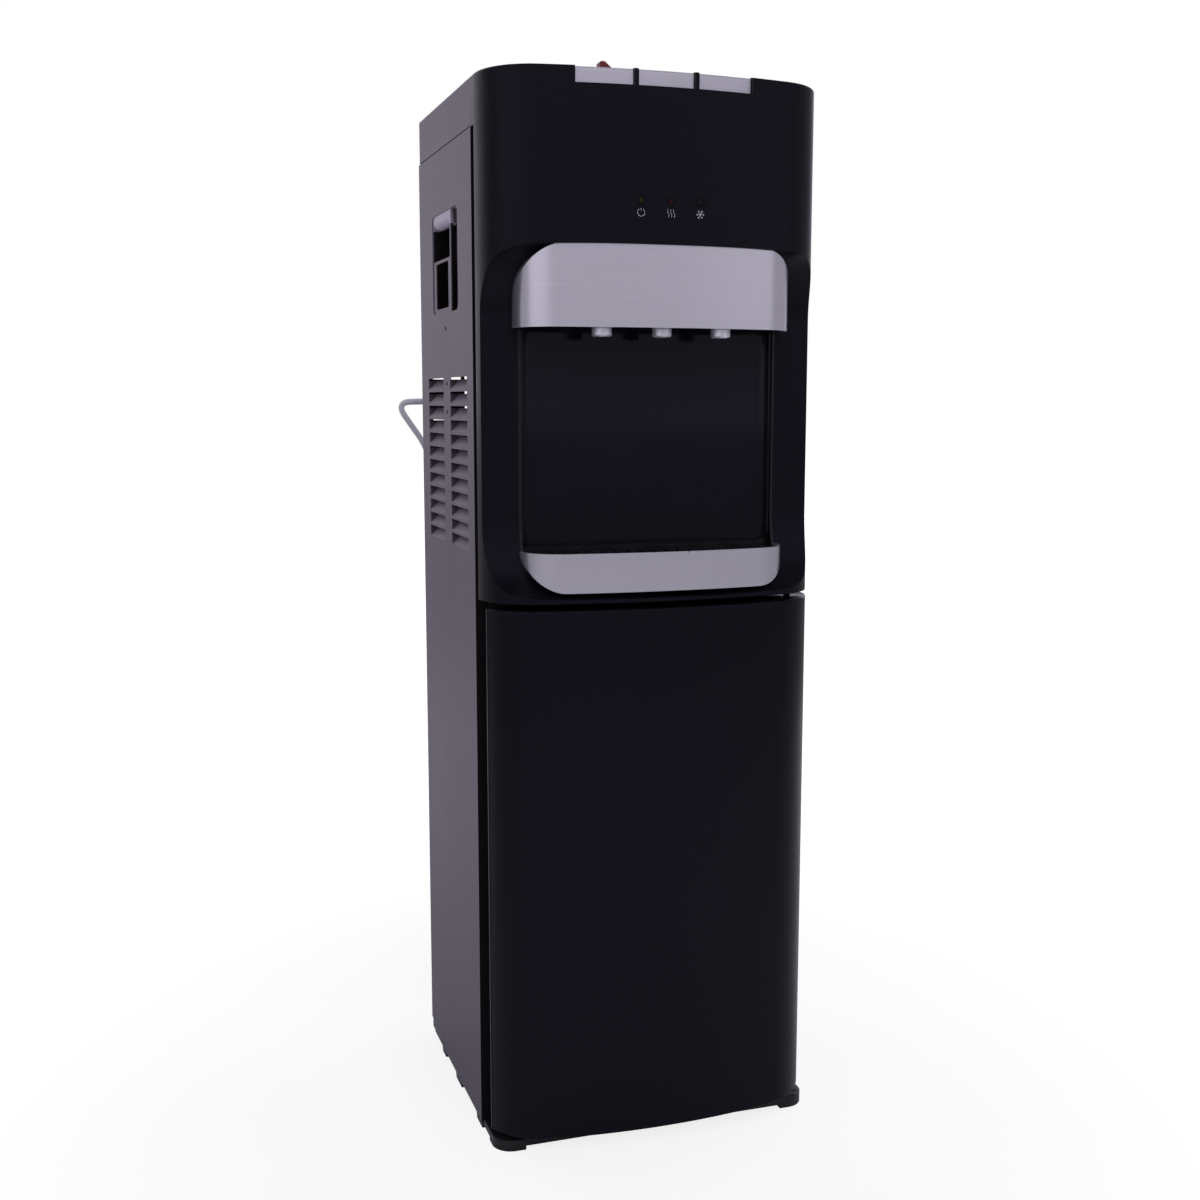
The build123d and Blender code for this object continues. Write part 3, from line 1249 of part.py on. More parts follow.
def cord_tie():
    """Band round the strands on one side of the coil."""
    x = COIL_START[0] + COIL_OUTER
    y = COIL_START[1] + COIL_OUTER + COIL_PITCH / 2
    room = CORD_RADIUS + TIE_GAP
    inner = COIL_OUTER - COIL_PITCH
    sag = inner - math.sqrt(inner ** 2 - (COIL_PITCH / 2 + TIE_WIDTH / 2) ** 2)
    inner_x = (x - COIL_PITCH - sag - room, x + room)
    inner_z = (COIL_LOW - room, COIL_HIGH + room)
    outer_x = (inner_x[0] - TIE_THICK, inner_x[1] + TIE_THICK)
    outer_z = (inner_z[0] - TIE_THICK, inner_z[1] + TIE_THICK)
    along = (y - TIE_WIDTH / 2, y + TIE_WIDTH / 2)
    return block(outer_x, along, outer_z) - block(inner_x, (along[0] - CUT, along[1] + CUT), inner_z)


def plug():
    """Moulded plug lying on the floor at the end of the cord."""
    end = coil_edges()[-1] @ 1
    half = PLUG_WIDTH / 2
    body_x = (end.X - PLUG_RELIEF - PLUG_LENGTH, end.X - PLUG_RELIEF)
    body = block(body_x, (end.Y - half, end.Y + half), (0, 2 * COIL_HIGH))
    body = fillet(body.edges().filter_by(Axis.X), PLUG_ROUND)
    relief = Pos(end.X - PLUG_RELIEF / 2, end.Y, COIL_HIGH) * Rot(0, 90, 0)
    body += relief * Cone(2 * CORD_RADIUS, CORD_RADIUS + TIE_THICK, PLUG_RELIEF)
    for side in (-1, 1):
        y = end.Y + side * BLADE_PITCH / 2
        body += block((body_x[0] - BLADE_LENGTH, body_x[0] + CUT), (y - BLADE_THICK / 2, y + BLADE_THICK / 2),
                      (COIL_HIGH - BLADE_WIDTH / 2, COIL_HIGH + BLADE_WIDTH / 2))
    return body


def nodes():
    """Every piece of the dispenser by name."""
    left_panel = left_side_panel()
    left_grip = left_handle()
    lamps = dict(zip(("power_lamp", "heat_lamp", "cool_lamp"), lamp_places()))
    switches = switch_places()[0]
    pipe_hole = (0, PUMP_Y, PIPE_RADIUS)
    parts = {
        "base_pan": base_pan(),
        "left_side_panel": left_panel,
        "right_side_panel": mirror(left_panel, about=Plane.YZ),
        "left_handle": left_grip,
        "right_handle": mirror(left_grip, about=Plane.YZ),
        "top_cover": top_cover(),
        "front_cover": front_cover(),
        "bay_liner": bay_liner(),
        "splash_plate": splash_plate(),
        "tap_cover": tap_cover(),
        "tap_deck": tap_deck(),
        "tap_bodies": Compound(children=[tap_body(x) for x in NOZZLE_X]),
        "lamp_board": lamp_board(),
        "button_shaft": button_shaft(),
        "hot_button": hot_button(),
        "room_button": button(1),
        "cold_button": button(2),
        "child_lock": child_lock(),
        "tray_trim": tray_trim(),
        "drip_tray": drip_tray(),
        "drip_grille": drip_grille(),
        "front_uprights": front_uprights(),
        "door_header": door_header(),
        "upper_hinge": upper_hinge(),
        "lower_hinge": lower_hinge(),
        "door_outer": door_outer(),
        "door_inner": door_inner(),
        "door_gasket": door_gasket(),
        "mid_shelf": shelf(MID_SHELF, [pipe_hole]),
        "tank_shelf": shelf(TANK_SHELF, [pipe_hole]),
        "upper_rear_panel": upper_rear_panel(),
        "lower_rear_panel": rear_panel(BASE_TOP, VENT_LOW),
        "switch_cases": switch_cases(),
        "heat_rocker": rocker(switches[0]),
        "cool_rocker": rocker(switches[1]),
        "compressor": compressor(),
        "compressor_grommets": compressor_grommets(),
        "condenser_tube": condenser_tube(),
        "condenser_wires": condenser_wires(),
        "condenser_clips": condenser_clips(),
        "hot_tank": tank(HOT_TANK_X, HOT_TANK_RADIUS, HOT_TANK_HEIGHT),
        "cold_tank": tank(COLD_TANK_X, COLD_TANK_RADIUS, COLD_TANK_HEIGHT),
        "water_pump": water_pump(),
        "water_pipes": water_pipes(),
        "control_box": control_box(),
        "cord_gland": cord_gland(),
        "power_cord": power_cord(),
        "cord_coil": cord_coil(),
        "cord_tie": cord_tie(),
        "plug": plug(),
    }
    for name, x in lamps.items():
        parts[name] = lamp(x)
    for name, x in zip(("hot", "room", "cold"), NOZZLE_X):
        parts[name + "_nozzle"] = nozzle(x)
        parts[name + "_rod"] = push_rod(x)
    return parts


os.makedirs("parts", exist_ok=True)
for node_name, shape in nodes().items():
    export_step(shape, f"parts/{node_name}.step")
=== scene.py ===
import math

import bmesh
import bpy
from mathutils import Matrix, Vector


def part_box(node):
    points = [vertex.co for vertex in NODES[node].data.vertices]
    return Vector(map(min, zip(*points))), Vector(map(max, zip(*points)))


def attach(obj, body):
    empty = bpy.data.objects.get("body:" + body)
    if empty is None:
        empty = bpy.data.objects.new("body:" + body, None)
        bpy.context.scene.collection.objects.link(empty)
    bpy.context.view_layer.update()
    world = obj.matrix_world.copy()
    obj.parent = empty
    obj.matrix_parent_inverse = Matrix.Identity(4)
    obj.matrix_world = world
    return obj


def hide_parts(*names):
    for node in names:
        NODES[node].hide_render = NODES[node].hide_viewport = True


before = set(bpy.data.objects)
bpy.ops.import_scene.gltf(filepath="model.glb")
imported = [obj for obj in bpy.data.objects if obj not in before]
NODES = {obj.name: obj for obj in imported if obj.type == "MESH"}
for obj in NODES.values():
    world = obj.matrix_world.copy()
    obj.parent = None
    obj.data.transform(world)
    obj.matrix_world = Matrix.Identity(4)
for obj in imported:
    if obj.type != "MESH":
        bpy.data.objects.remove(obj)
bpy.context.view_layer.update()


def shade(red, green, blue):
    """Linear colour for the 8-bit values of a finish."""
    def linear(value):
        share = value / 255
        return share / 12.92 if share <= 0.04045 else ((share + 0.055) / 1.055) ** 2.4
    return (linear(red), linear(green), linear(blue), 1.0)


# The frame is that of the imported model: +X right, +Y back, +Z up. Lengths are in metres, apart from
# the panel screws' places and the cord's line, which are in millimetres.
MM = 0.001
UP = Vector((0, 0, 1))
SIDES = (("left", -1), ("right", 1))

# Cabinet's half width, and the radius of its bowed front
HALF_WIDTH = 170 * MM
FRONT_RADIUS = 666 * MM

# Colours that are used more than once
CHARCOAL = shade(85, 79, 88)
SHELL_BLACK = shade(12, 11, 16)
PLATE_BLACK = shade(18, 17, 22)
# Black painted as shade in the dark gaps beside the front
GAP_SHADE_BLACK = shade(9, 8, 10)
WHITE = (1.0, 1.0, 1.0, 1.0)

# Tint of the black mouldings' gloss
BLACK_TINT = (0.86, 0.82, 1.0, 1.0)

# Side panels: heights between which the paint is darkened towards the floor as painted shade, and
# under which it is scuffed
FOOT_SHADE_FADE = (0.3, 0.05)
SCUFF_FADE = (0.12, 0.0)

# Hand grips: the rolled lip under each cup's top, painted paler as a painted highlight, and depths
# between which the cup is painted black as painted shade
LIP_DROP = 23 * MM
LIP_DEPTH = 12.5 * MM
CUP_SHADE_FADE = (0.4 * MM, 1.2 * MM)

# Splash plate: heights between which dried drops appear
DROP_FADE = (0.70, 0.60)

# Drip tray's trim: heights between which nicks appear on its upper edge, and a height over it
NICK_FADE = (592.5 * MM, 594.2 * MM)
TRAY_LIMIT = 600 * MM

# Painted shade: black on the front faces of the panels and of the door frame, for the dark gaps
# beside the front
GAP_SHADE_DEPTH = 0.6 * MM
GAP_SHADE_ROUGHER = 0.3

# Metallic share of the zinc-coated sheet
ZINC_METALLIC = 0.85

# Lamps: radii between which a lens darkens, and the dark rings round them
LAMPS = ("power_lamp", "heat_lamp", "cool_lamp")
LENS_FADE = (1.0 * MM, 2.4 * MM)
BEZEL_WIDTH = 0.9 * MM
BEZEL_HEIGHT = 0.3 * MM
BEZEL_STEPS = 32

# Printed signs under the lamps; the measures of each sign are shares of MARK_SIZE
MARK_DROP = 11 * MM
MARK_SIZE = 8.3 * MM
MARK_STROKE = 0.12 * MM
MARK_THICK = 0.05 * MM
POWER_RADIUS = 0.42
POWER_SWEEP = (120, 420)
POWER_STEPS = 24
POWER_BAR = (0.12, 0.5)
WAVE_PLACES = (-0.35, 0.0, 0.35)
WAVE_SWAY = 0.08
WAVE_HALF = 0.42
WAVE_STEPS = 16
SNOW_ARM = 0.48
SNOW_TIP = 0.45
SNOW_KNEE = 0.3
SNOW_SPREAD = 0.12

# Slatted caps that close the ends of the gap between the rear panels
CAP_WIDTH = 46 * MM
CAP_RIM = 4 * MM
CAP_THICK = 3 * MM
CAP_SLATS = 5
CAP_SLAT = 9.5 * MM
CAP_TILT = 28
CAP_EASE = 0.4 * MM

# Screws: radii of their heads, Y and Z of those in the side panels, and inset of the rear ones
PANEL_SCREW = 2.1 * MM
REAR_SCREW = 3.6 * MM
PANEL_SCREW_PLACES = ((26, 811), (23, 755), (23, 726))
SCREW_INSET = 11 * MM

# Shares of a screw head's radius, then of its height
SCREW_HEIGHT = 0.42
SCREW_TOP = 0.8
SCREW_CROSS = 0.95
SCREW_SLOT = 0.22
SCREW_ROUND = 0.35
SCREW_RAISE = 0.02

# Mains cord: its line and coil in millimetres
CORD_RADIUS = 3.5 * MM
CORD_OUTLET = (-40, 150, 736)
CORD_BENDS = (
    (-40, 188, 736),
    (-72, 216, 737),
    (-127, 221, 737.5),
    (-161, 216, 736.6),
    (-179.2, 213, 736.3),
    (-183.6, 213, 728.5),
    (-173.9, 214, 714),
    (-155.5, 216, 688.7),
    (-138, 218, 644),
    (-127, 220, 572),
    (-121, 223, 480),
    (-119, 222, 380),
    (-123, 220, 280),
    (-122, 221, 180),
    (-119, 216, 100),
    (-108, 206, 48),
    (-82, 196, 14),
    (-44, 190, 4.6),
    (-12, 190, 4.6),
)
COIL_START = (-5, 190, 4.6)
COIL_PITCH = 7.5
COIL_OUTER = 42.0
COIL_HALF_TURNS = 3
COIL_STEPS = 8
COIL_TAIL = 42.0
BLADE_LENGTH = 17 * MM

# Camera
CAMERA_PLACE = (-0.4990, -1.4851, 0.7368)
CAMERA_YAW = 0.3172
CAMERA_PITCH = 0.1338
CAMERA_LENS = 44.263
CAMERA_SENSOR = 36.0

# Lamps of the studio: name, place, target, size and watts
STUDIO_LAMPS = (
    ("key", (-1.5, 1.9, 0.65), (-0.1, 0, 0.45), 1.6, 37),
    ("front", (-0.1, -2.2, 2.5), (0, -0.15, 0.7), 1.8, 46),
    ("top", (0.1, 0.3, 2.8), (0, 0, 0.5), 1.6, 14),
    ("fill", (2.0, 0.5, 1.1), (0, 0, 0.6), 1.4, 26),
)
STUDIO_TINT = (0.93, 0.89, 1.0, 1.0)

# Walls that reflections show: where each starts and is full, along its own direction, and its
# brightness. The front wall stands a little to the left. DIM is added everywhere.
REAR_WALL = (0.42, 0.8, 0.85)
FRONT_WALL = (0.22, 0.5, 0.42)
LEFT_WALL = (-0.2, -0.8, 0.3)
RIGHT_WALL = (0.3, 0.9, 0.25)
FRONT_AHEAD = 0.95
FRONT_ASIDE = 0.31
DIM = 0.05

# Floor: how white it looks to the camera, from the object's feet to far away
FLOOR_SIZE = 30
FLOOR_GLOW = 1.15
FLOOR_NEAR = 0.72
FLOOR_FADE = (0.35, 1.3)


class Value:
    """A number that changes over a surface; arithmetic on it adds Math nodes to its tree."""

    def __init__(self, nodes, socket):
        self.nodes = nodes
        self.socket = socket

    def __add__(self, other):
        return self.nodes.math("ADD", self, other)

    def __sub__(self, other):
        return self.nodes.math("SUBTRACT", self, other)

    def __rsub__(self, other):
        return self.nodes.math("SUBTRACT", other, self)

    def __mul__(self, other):
        return self.nodes.math("MULTIPLY", self, other)

    def __pow__(self, other):
        return self.nodes.math("POWER", self, other)

    def __lt__(self, other):
        return self.nodes.math("LESS_THAN", self, other)

    def __gt__(self, other):
        return self.nodes.math("GREATER_THAN", self, other)

    def __abs__(self):
        return self.nodes.math("ABSOLUTE", self, 0.0)

    __radd__ = __add__


class Nodes:
    """A node tree with short calls for the nodes that the finishes use."""

    def __init__(self, tree, place):
        self.tree = tree
        self.place = self.node("ShaderNodeTexCoord", out=place)

    def node(self, kind, settings=None, sockets=None, out=0):
        """Adds a node: its settings are set first, then its sockets are filled or linked."""
        made = self.tree.nodes.new(kind)
        for key, value in (settings or {}).items():
            setattr(made, key, value)
        for key, value in (sockets or {}).items():
            self.feed(made.inputs[key], value)
        return Value(self, made.outputs[out])

    def feed(self, socket, value):
        """Links a changing value to a socket, or sets a fixed one."""
        if isinstance(value, Value):
            self.tree.links.new(value.socket, socket)
        else:
            socket.default_value = value

    def math(self, operation, first, second):
        """A sum, product or comparison of two values."""
        return self.node("ShaderNodeMath", {"operation": operation}, {0: first, 1: second})

    def blend(self, low, high, share):
        """Colour between two colours."""
        sockets = {0: share, 6: low, 7: high}
        return self.node("ShaderNodeMix", {"data_type": "RGBA"}, sockets, out=2)

    def stretched(self, x, y, z):
        """Coordinates multiplied along each axis."""
        sockets = {0: self.place, 1: (x, y, z)}
        return self.node("ShaderNodeVectorMath", {"operation": "MULTIPLY"}, sockets)

    def axis(self, name):
        """One coordinate: X, Y or Z."""
        return self.node("ShaderNodeSeparateXYZ", None, {0: self.place}, out=name)

    def noise(self, scale, detail=2.0, place=None, roughness=0.5):
        """Soft noise with about scale features to the metre."""
        place = place or self.place
        sockets = {"Vector": place, "Scale": scale, "Detail": detail, "Roughness": roughness}
        return self.node("ShaderNodeTexNoise", None, sockets)

    def cells(self, scale, out="Distance"):
        """Distance from each cell's middle, or its colour, with about scale cells to the metre."""
        sockets = {"Vector": self.place, "Scale": scale}
        return self.node("ShaderNodeTexVoronoi", None, sockets, out)

    def speckle(self, scale):
        """Grey level that differs from cell to cell."""
        return self.node("ShaderNodeRGBToBW", None, {0: self.cells(scale, out="Color")})

    def between(self, value, low, high, start=0.0, end=1.0):
        """Smooth step from start, where value is low, to end, where it is high."""
        sockets = {0: value, 1: low, 2: high, 3: start, 4: end}
        return self.node("ShaderNodeMapRange", {"interpolation_type": "SMOOTHSTEP"}, sockets)


class Finish(Nodes):
    """One procedural finish, built on the Principled shader."""

    def __init__(self, name, color, roughness, metallic=0.0, **uniform):
        self.material = bpy.data.materials.new(name)
        self.material.use_nodes = True
        super().__init__(self.material.node_tree, "Object")
        self.shader = self.tree.nodes["Principled BSDF"]
        self.set("Base Color", color)
        self.set("Roughness", roughness)
        self.set("Metallic", metallic)
        for socket, value in uniform.items():
            self.set(socket.replace("_", " "), value)

    def set(self, socket, value):
        """Sets or links a socket of the shader."""
        self.feed(self.shader.inputs[socket], value)

    def bump(self, height, depth):
        """Raises the surface by depth, in metres, where height is 1."""
        sockets = {"Height": height, "Distance": depth}
        self.set("Normal", self.node("ShaderNodeBump", None, sockets))


def dimmed(color, share):
    """A share of a colour."""
    return tuple(share * c for c in color[:3]) + (1.0,)


def black_moulding():
    """Satin black shell plastic with a fine moulded grain, faint hand marks and specks of dust."""
    f = Finish("black_moulding", SHELL_BLACK, 0.3,
               Specular_IOR_Level=0.16, Specular_Tint=BLACK_TINT)
    grain = f.noise(2600, 1.0)
    smudge = f.between(f.noise(14, 4.0, roughness=0.6), 0.35, 0.75)
    dust = f.between(f.cells(420), 0.06, 0.02) * f.between(f.noise(40, 2.0), 0.52, 0.7)
    f.set("Roughness", 0.27 + smudge * 0.06 + grain * 0.03)
    f.set("Base Color", f.blend(SHELL_BLACK, shade(42, 40, 45), dust * 0.5))
    f.bump(grain, 0.012 * MM)
    return f.material


def charcoal(name):
    """Start of the charcoal finishes: the panels, the lid and the grips."""
    return Finish(name, CHARCOAL, 0.46, Specular_IOR_Level=0.22)


def painted_gap_shade(f, paint, roughness, front):
    """Adds black painted shade to a finish, on what lies at the plane y = front, for the dark gap
    there; returns where it is.
    """
    gap_shade = f.axis("Y") < front + GAP_SHADE_DEPTH
    f.set("Base Color", f.blend(paint, GAP_SHADE_BLACK, gap_shade))
    f.set("Roughness", roughness + gap_shade * GAP_SHADE_ROUGHER)
    return gap_shade


def panel_paint():
    """Charcoal powder coat on sheet steel: orange peel, slight streaks, scuffs near the floor;
    painted shade near the floor and on the front fold.
    """
    f = charcoal("panel_paint")
    peel = f.noise(900, 2.0)
    streak = f.noise(9, 2.0, f.stretched(1, 1, 0.15))
    rub = f.noise(160, 5.0, f.stretched(1, 0.25, 1))
    height = f.axis("Z")
    scuff = f.between(rub, 0.6, 0.72) * f.between(height, *SCUFF_FADE)
    tone = f.blend(shade(83, 77, 86), shade(87, 81, 90), f.between(streak, 0.3, 0.7))
    # Painted shade: the paint darkens towards the floor
    foot = f.blend(tone, shade(71, 67, 75), f.between(height, *FOOT_SHADE_FADE))
    worn_and_shaded = f.blend(foot, shade(112, 108, 116), scuff * 0.5)
    # Black painted shade on the front fold, for the dark gap beside the front
    painted_gap_shade(f, worn_and_shaded, 0.45 + peel * 0.04 + scuff * 0.2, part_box("left_side_panel")[0].y)
    f.bump(peel, 0.02 * MM)
    return f.material


def spark_grain(f):
    """Spark-eroded grain of the charcoal mouldings."""
    grain = f.cells(1500)
    f.set("Roughness", 0.42 + grain * 0.1)
    f.bump(grain, 0.02 * MM)
    return grain


def cover_moulding():
    """Charcoal plastic of the lid."""
    f = charcoal("cover_moulding")
    spark_grain(f)
    cloud = f.between(f.noise(20, 3.0), 0.35, 0.7)
    f.set("Base Color", f.blend(shade(84, 78, 87), shade(87, 81, 90), cloud))
    return f.material


def grip_moulding():
    """The grips: charcoal face, a rolled lip painted paler as a painted highlight, and a cup painted
    black inside as painted shade.
    """
    f = charcoal("grip_moulding")
    grain = spark_grain(f)
    low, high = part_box("left_handle")
    depth = -low.x - abs(f.axis("X"))
    # The lip is painted paler as a painted highlight; the cup is painted black as painted shade
    lip_highlight = (f.axis("Z") > high.z - LIP_DROP) * (depth < LIP_DEPTH)
    cup_shade = f.between(depth, *CUP_SHADE_FADE)
    face = f.blend(CHARCOAL, shade(10, 9, 11), cup_shade + grain * 0.02)
    f.set("Base Color", f.blend(face, shade(150, 145, 158), lip_highlight))
    return f.material


def gloss_plate():
    """Polished black back plate with wipe marks and a few dried drops near its foot."""
    f = Finish("gloss_plate", PLATE_BLACK, 0.08,
               Specular_IOR_Level=0.22, Specular_Tint=BLACK_TINT)
    wipe = f.between(f.noise(9, 4.0, f.stretched(1, 1, 3)), 0.4, 0.8)
    spots = f.between(f.cells(130), 0.16, 0.1) * f.between(f.noise(30, 1.0), 0.56, 0.66)
    drops = spots * f.between(f.axis("Z"), *DROP_FADE)
    f.set("Roughness", 0.06 + wipe * 0.08 + drops * 0.2)
    f.set("Base Color", f.blend(PLATE_BLACK, shade(52, 50, 56), drops * 0.35))
    return f.material


def satin_black(name="satin_black", level=20, roughness=0.4, gloss=0.35):
    """Plain black moulding; level is its 8-bit grey."""
    def grey(value):
        return shade(value, value, value + 2)
    f = Finish(name, grey(level), roughness, Specular_IOR_Level=gloss)
    grain = f.noise(1400, 2.0)
    wear = f.between(f.noise(35, 4.0), 0.35, 0.7)
    f.set("Base Color", f.blend(grey(level - 3), grey(level + 4), wear))
    f.set("Roughness", roughness - 0.04 + grain * 0.08)
    f.bump(grain, 0.015 * MM)
    return f.material


def brushed_silver():
    """Silver film brushed along the width, with a few nicks on the tray's upper edge."""
    f = Finish("brushed_silver", shade(222, 220, 229), 0.26, 0.85)
    hair = f.noise(1200, 2.0, f.stretched(0.008, 0.008, 1), 0.6)
    tone = f.between(hair, 0.3, 0.7)
    height = f.axis("Z")
    edge = f.between(height, *NICK_FADE) * (height < TRAY_LIMIT)
    nick = edge * f.between(f.noise(330, 3.0), 0.58, 0.64) * f.between(f.noise(23, 1.0), 0.5, 0.58)
    silver = f.blend(shade(220, 218, 227), shade(224, 222, 231), tone)
    f.set("Base Color", f.blend(silver, shade(60, 58, 62), nick))
    f.set("Roughness", 0.25 + tone * 0.02 + nick * 0.2)
    f.bump(hair, 0.0003 * MM)
    return f.material


def silver_paint(name="silver_paint", lift=0, roughness=0.34):
    """Fine metallic paint on the buttons and nozzles, unevenly dulled; lift makes it paler, which on
    the nozzles is painted light against the shade under the tap cover.
    """
    dark = shade(191 + lift, 189 + lift, 198 + lift)
    pale = shade(203 + lift, 201 + lift, 210 + lift)
    f = Finish(name, dark, roughness, 0.6)
    flake = f.speckle(4200)
    cloud = f.between(f.noise(60, 3.0), 0.35, 0.7)
    f.set("Base Color", f.blend(dark, pale, f.between(flake, 0.1, 0.9)))
    f.set("Roughness", roughness + cloud * 0.12)
    f.bump(flake, 0.003 * MM)
    return f.material


def tinted_plastic(name, color, roughness=0.3):
    """Coloured moulding with a soft mottle."""
    f = Finish(name, color, roughness)
    cloud = f.noise(220, 3.0)
    f.set("Base Color", f.blend(dimmed(color, 0.8), color, f.between(cloud, 0.3, 0.7)))
    f.set("Roughness", roughness - 0.03 + cloud * 0.08)
    return f.material


def lamp_lens(lamp, color):
    """Unlit lens: a faint tint in the middle of a dark clear cap."""
    f = Finish(lamp + "_lens", color, 0.18, Specular_IOR_Level=0.08)
    low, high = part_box(lamp)
    middle = (low + high) / 2
    across = f.axis("X") - middle.x
    up = f.axis("Z") - middle.z
    rim = f.between((across * across + up * up) ** 0.5, *LENS_FADE)
    f.set("Base Color", f.blend(color, dimmed(color, 0.22), rim))
    f.set("Roughness", 0.16 + f.noise(900, 1.0) * 0.06)
    return f.material


def zinc_sheet(name="zinc_sheet", front=None):
    """Zinc-coated sheet with its spangle; front is the plane of its black painted shade, where it has
    one.
    """
    f = Finish(name, shade(168, 170, 172), 0.45, ZINC_METALLIC)
    tone = f.speckle(110)
    zinc = f.blend(shade(172, 174, 177), shade(196, 198, 200), tone)
    roughness = 0.38 + tone * 0.16
    if front is None:
        f.set("Base Color", zinc)
        f.set("Roughness", roughness)
    else:
        # Black painted shade on the front faces, where the dark gap round the door is
        gap_shade = painted_gap_shade(f, zinc, roughness, front)
        f.set("Metallic", ZINC_METALLIC - gap_shade * ZINC_METALLIC)
    return f.material


def plated_steel(name="plated_steel"):
    """Bright plated steel with fine turning marks."""
    f = Finish(name, shade(188, 188, 190), 0.28, 1.0)
    mark = f.noise(900, 2.0, f.stretched(1, 1, 0.1))
    tone = f.between(mark, 0.3, 0.7)
    f.set("Base Color", f.blend(shade(170, 170, 173), shade(200, 200, 201), tone))
    f.set("Roughness", 0.22 + mark * 0.16)
    return f.material


def rubber(name, level):
    """Matt rubber with a dusty bloom; level is its 8-bit grey."""
    dark = shade(level, level, level)
    dusty = shade(level + 16, level + 16, level + 15)
    f = Finish(name, dark, 0.75)
    bloom = f.noise(120, 4.0)
    f.set("Base Color", f.blend(dark, dusty, f.between(bloom, 0.45, 0.75)))
    f.set("Roughness", 0.68 + bloom * 0.15)
    f.bump(f.noise(900, 2.0), 0.02 * MM)
    return f.material


def black_enamel():
    """Dipped black enamel on the compressor and condenser, a little uneven and dusty."""
    f = Finish("black_enamel", shade(22, 22, 23), 0.3)
    sag = f.noise(70, 3.0, f.stretched(1, 1, 0.4))
    dust = f.noise(26, 5.0)
    coat = f.between(dust, 0.55, 0.85) * 0.35
    f.set("Base Color", f.blend(shade(19, 19, 20), shade(58, 56, 53), coat))
    f.set("Roughness", 0.22 + f.between(dust, 0.4, 0.8) * 0.25)
    f.bump(sag, 0.08 * MM)
    return f.material


def foam_jacket():
    """Moulded white insulation with its bead pattern."""
    f = Finish("foam_jacket", shade(214, 214, 210), 0.7)
    bead = f.cells(260)
    tone = f.between(bead, 0.0, 0.5)
    f.set("Base Color", f.blend(shade(196, 196, 191), shade(222, 222, 218), tone))
    f.bump(bead, 0.25 * MM)
    return f.material


def cord_sheath():
    """Pale grey PVC sheath, slightly waxy."""
    f = Finish("cord_sheath", shade(186, 184, 192), 0.42)
    cloud = f.noise(90, 3.0)
    tone = f.between(cloud, 0.3, 0.7)
    f.set("Base Color", f.blend(shade(180, 178, 187), shade(194, 192, 200), tone))
    f.set("Roughness", 0.38 + cloud * 0.1)
    return f.material


def plug_body():
    """Pale grey moulding with bright blades at its free end."""
    f = Finish("plug_body", shade(178, 176, 184), 0.45)
    blade = f.axis("X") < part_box("plug")[0].x + BLADE_LENGTH
    cloud = f.noise(240, 3.0)
    grey = f.blend(shade(172, 170, 178), shade(184, 182, 190), f.between(cloud, 0.3, 0.7))
    f.set("Base Color", f.blend(grey, shade(205, 198, 170), blade))
    f.set("Metallic", blade)
    f.set("Roughness", 0.46 - blade * 0.2 + cloud * 0.06)
    f.bump(f.noise(1600, 1.0), 0.015 * MM)
    return f.material


def circuit_board():
    """Green solder mask over copper tracks."""
    f = Finish("circuit_board", shade(28, 84, 46), 0.35)
    track = f.between(f.cells(160), 0.1, 0.14)
    f.set("Base Color", f.blend(shade(52, 122, 66), shade(24, 76, 42), track))
    return f.material


def print_ink():
    """Pale grey printing ink."""
    f = Finish("print_ink", shade(232, 230, 238), 0.55)
    cloud = f.between(f.noise(1800, 2.0), 0.3, 0.7)
    f.set("Base Color", f.blend(shade(222, 220, 228), shade(238, 236, 244), cloud))
    return f.material


def dress(nodes, material):
    """Gives CAD nodes their finish."""
    for name in nodes:
        slots = NODES[name].data.materials
        slots.clear()
        slots.append(material)


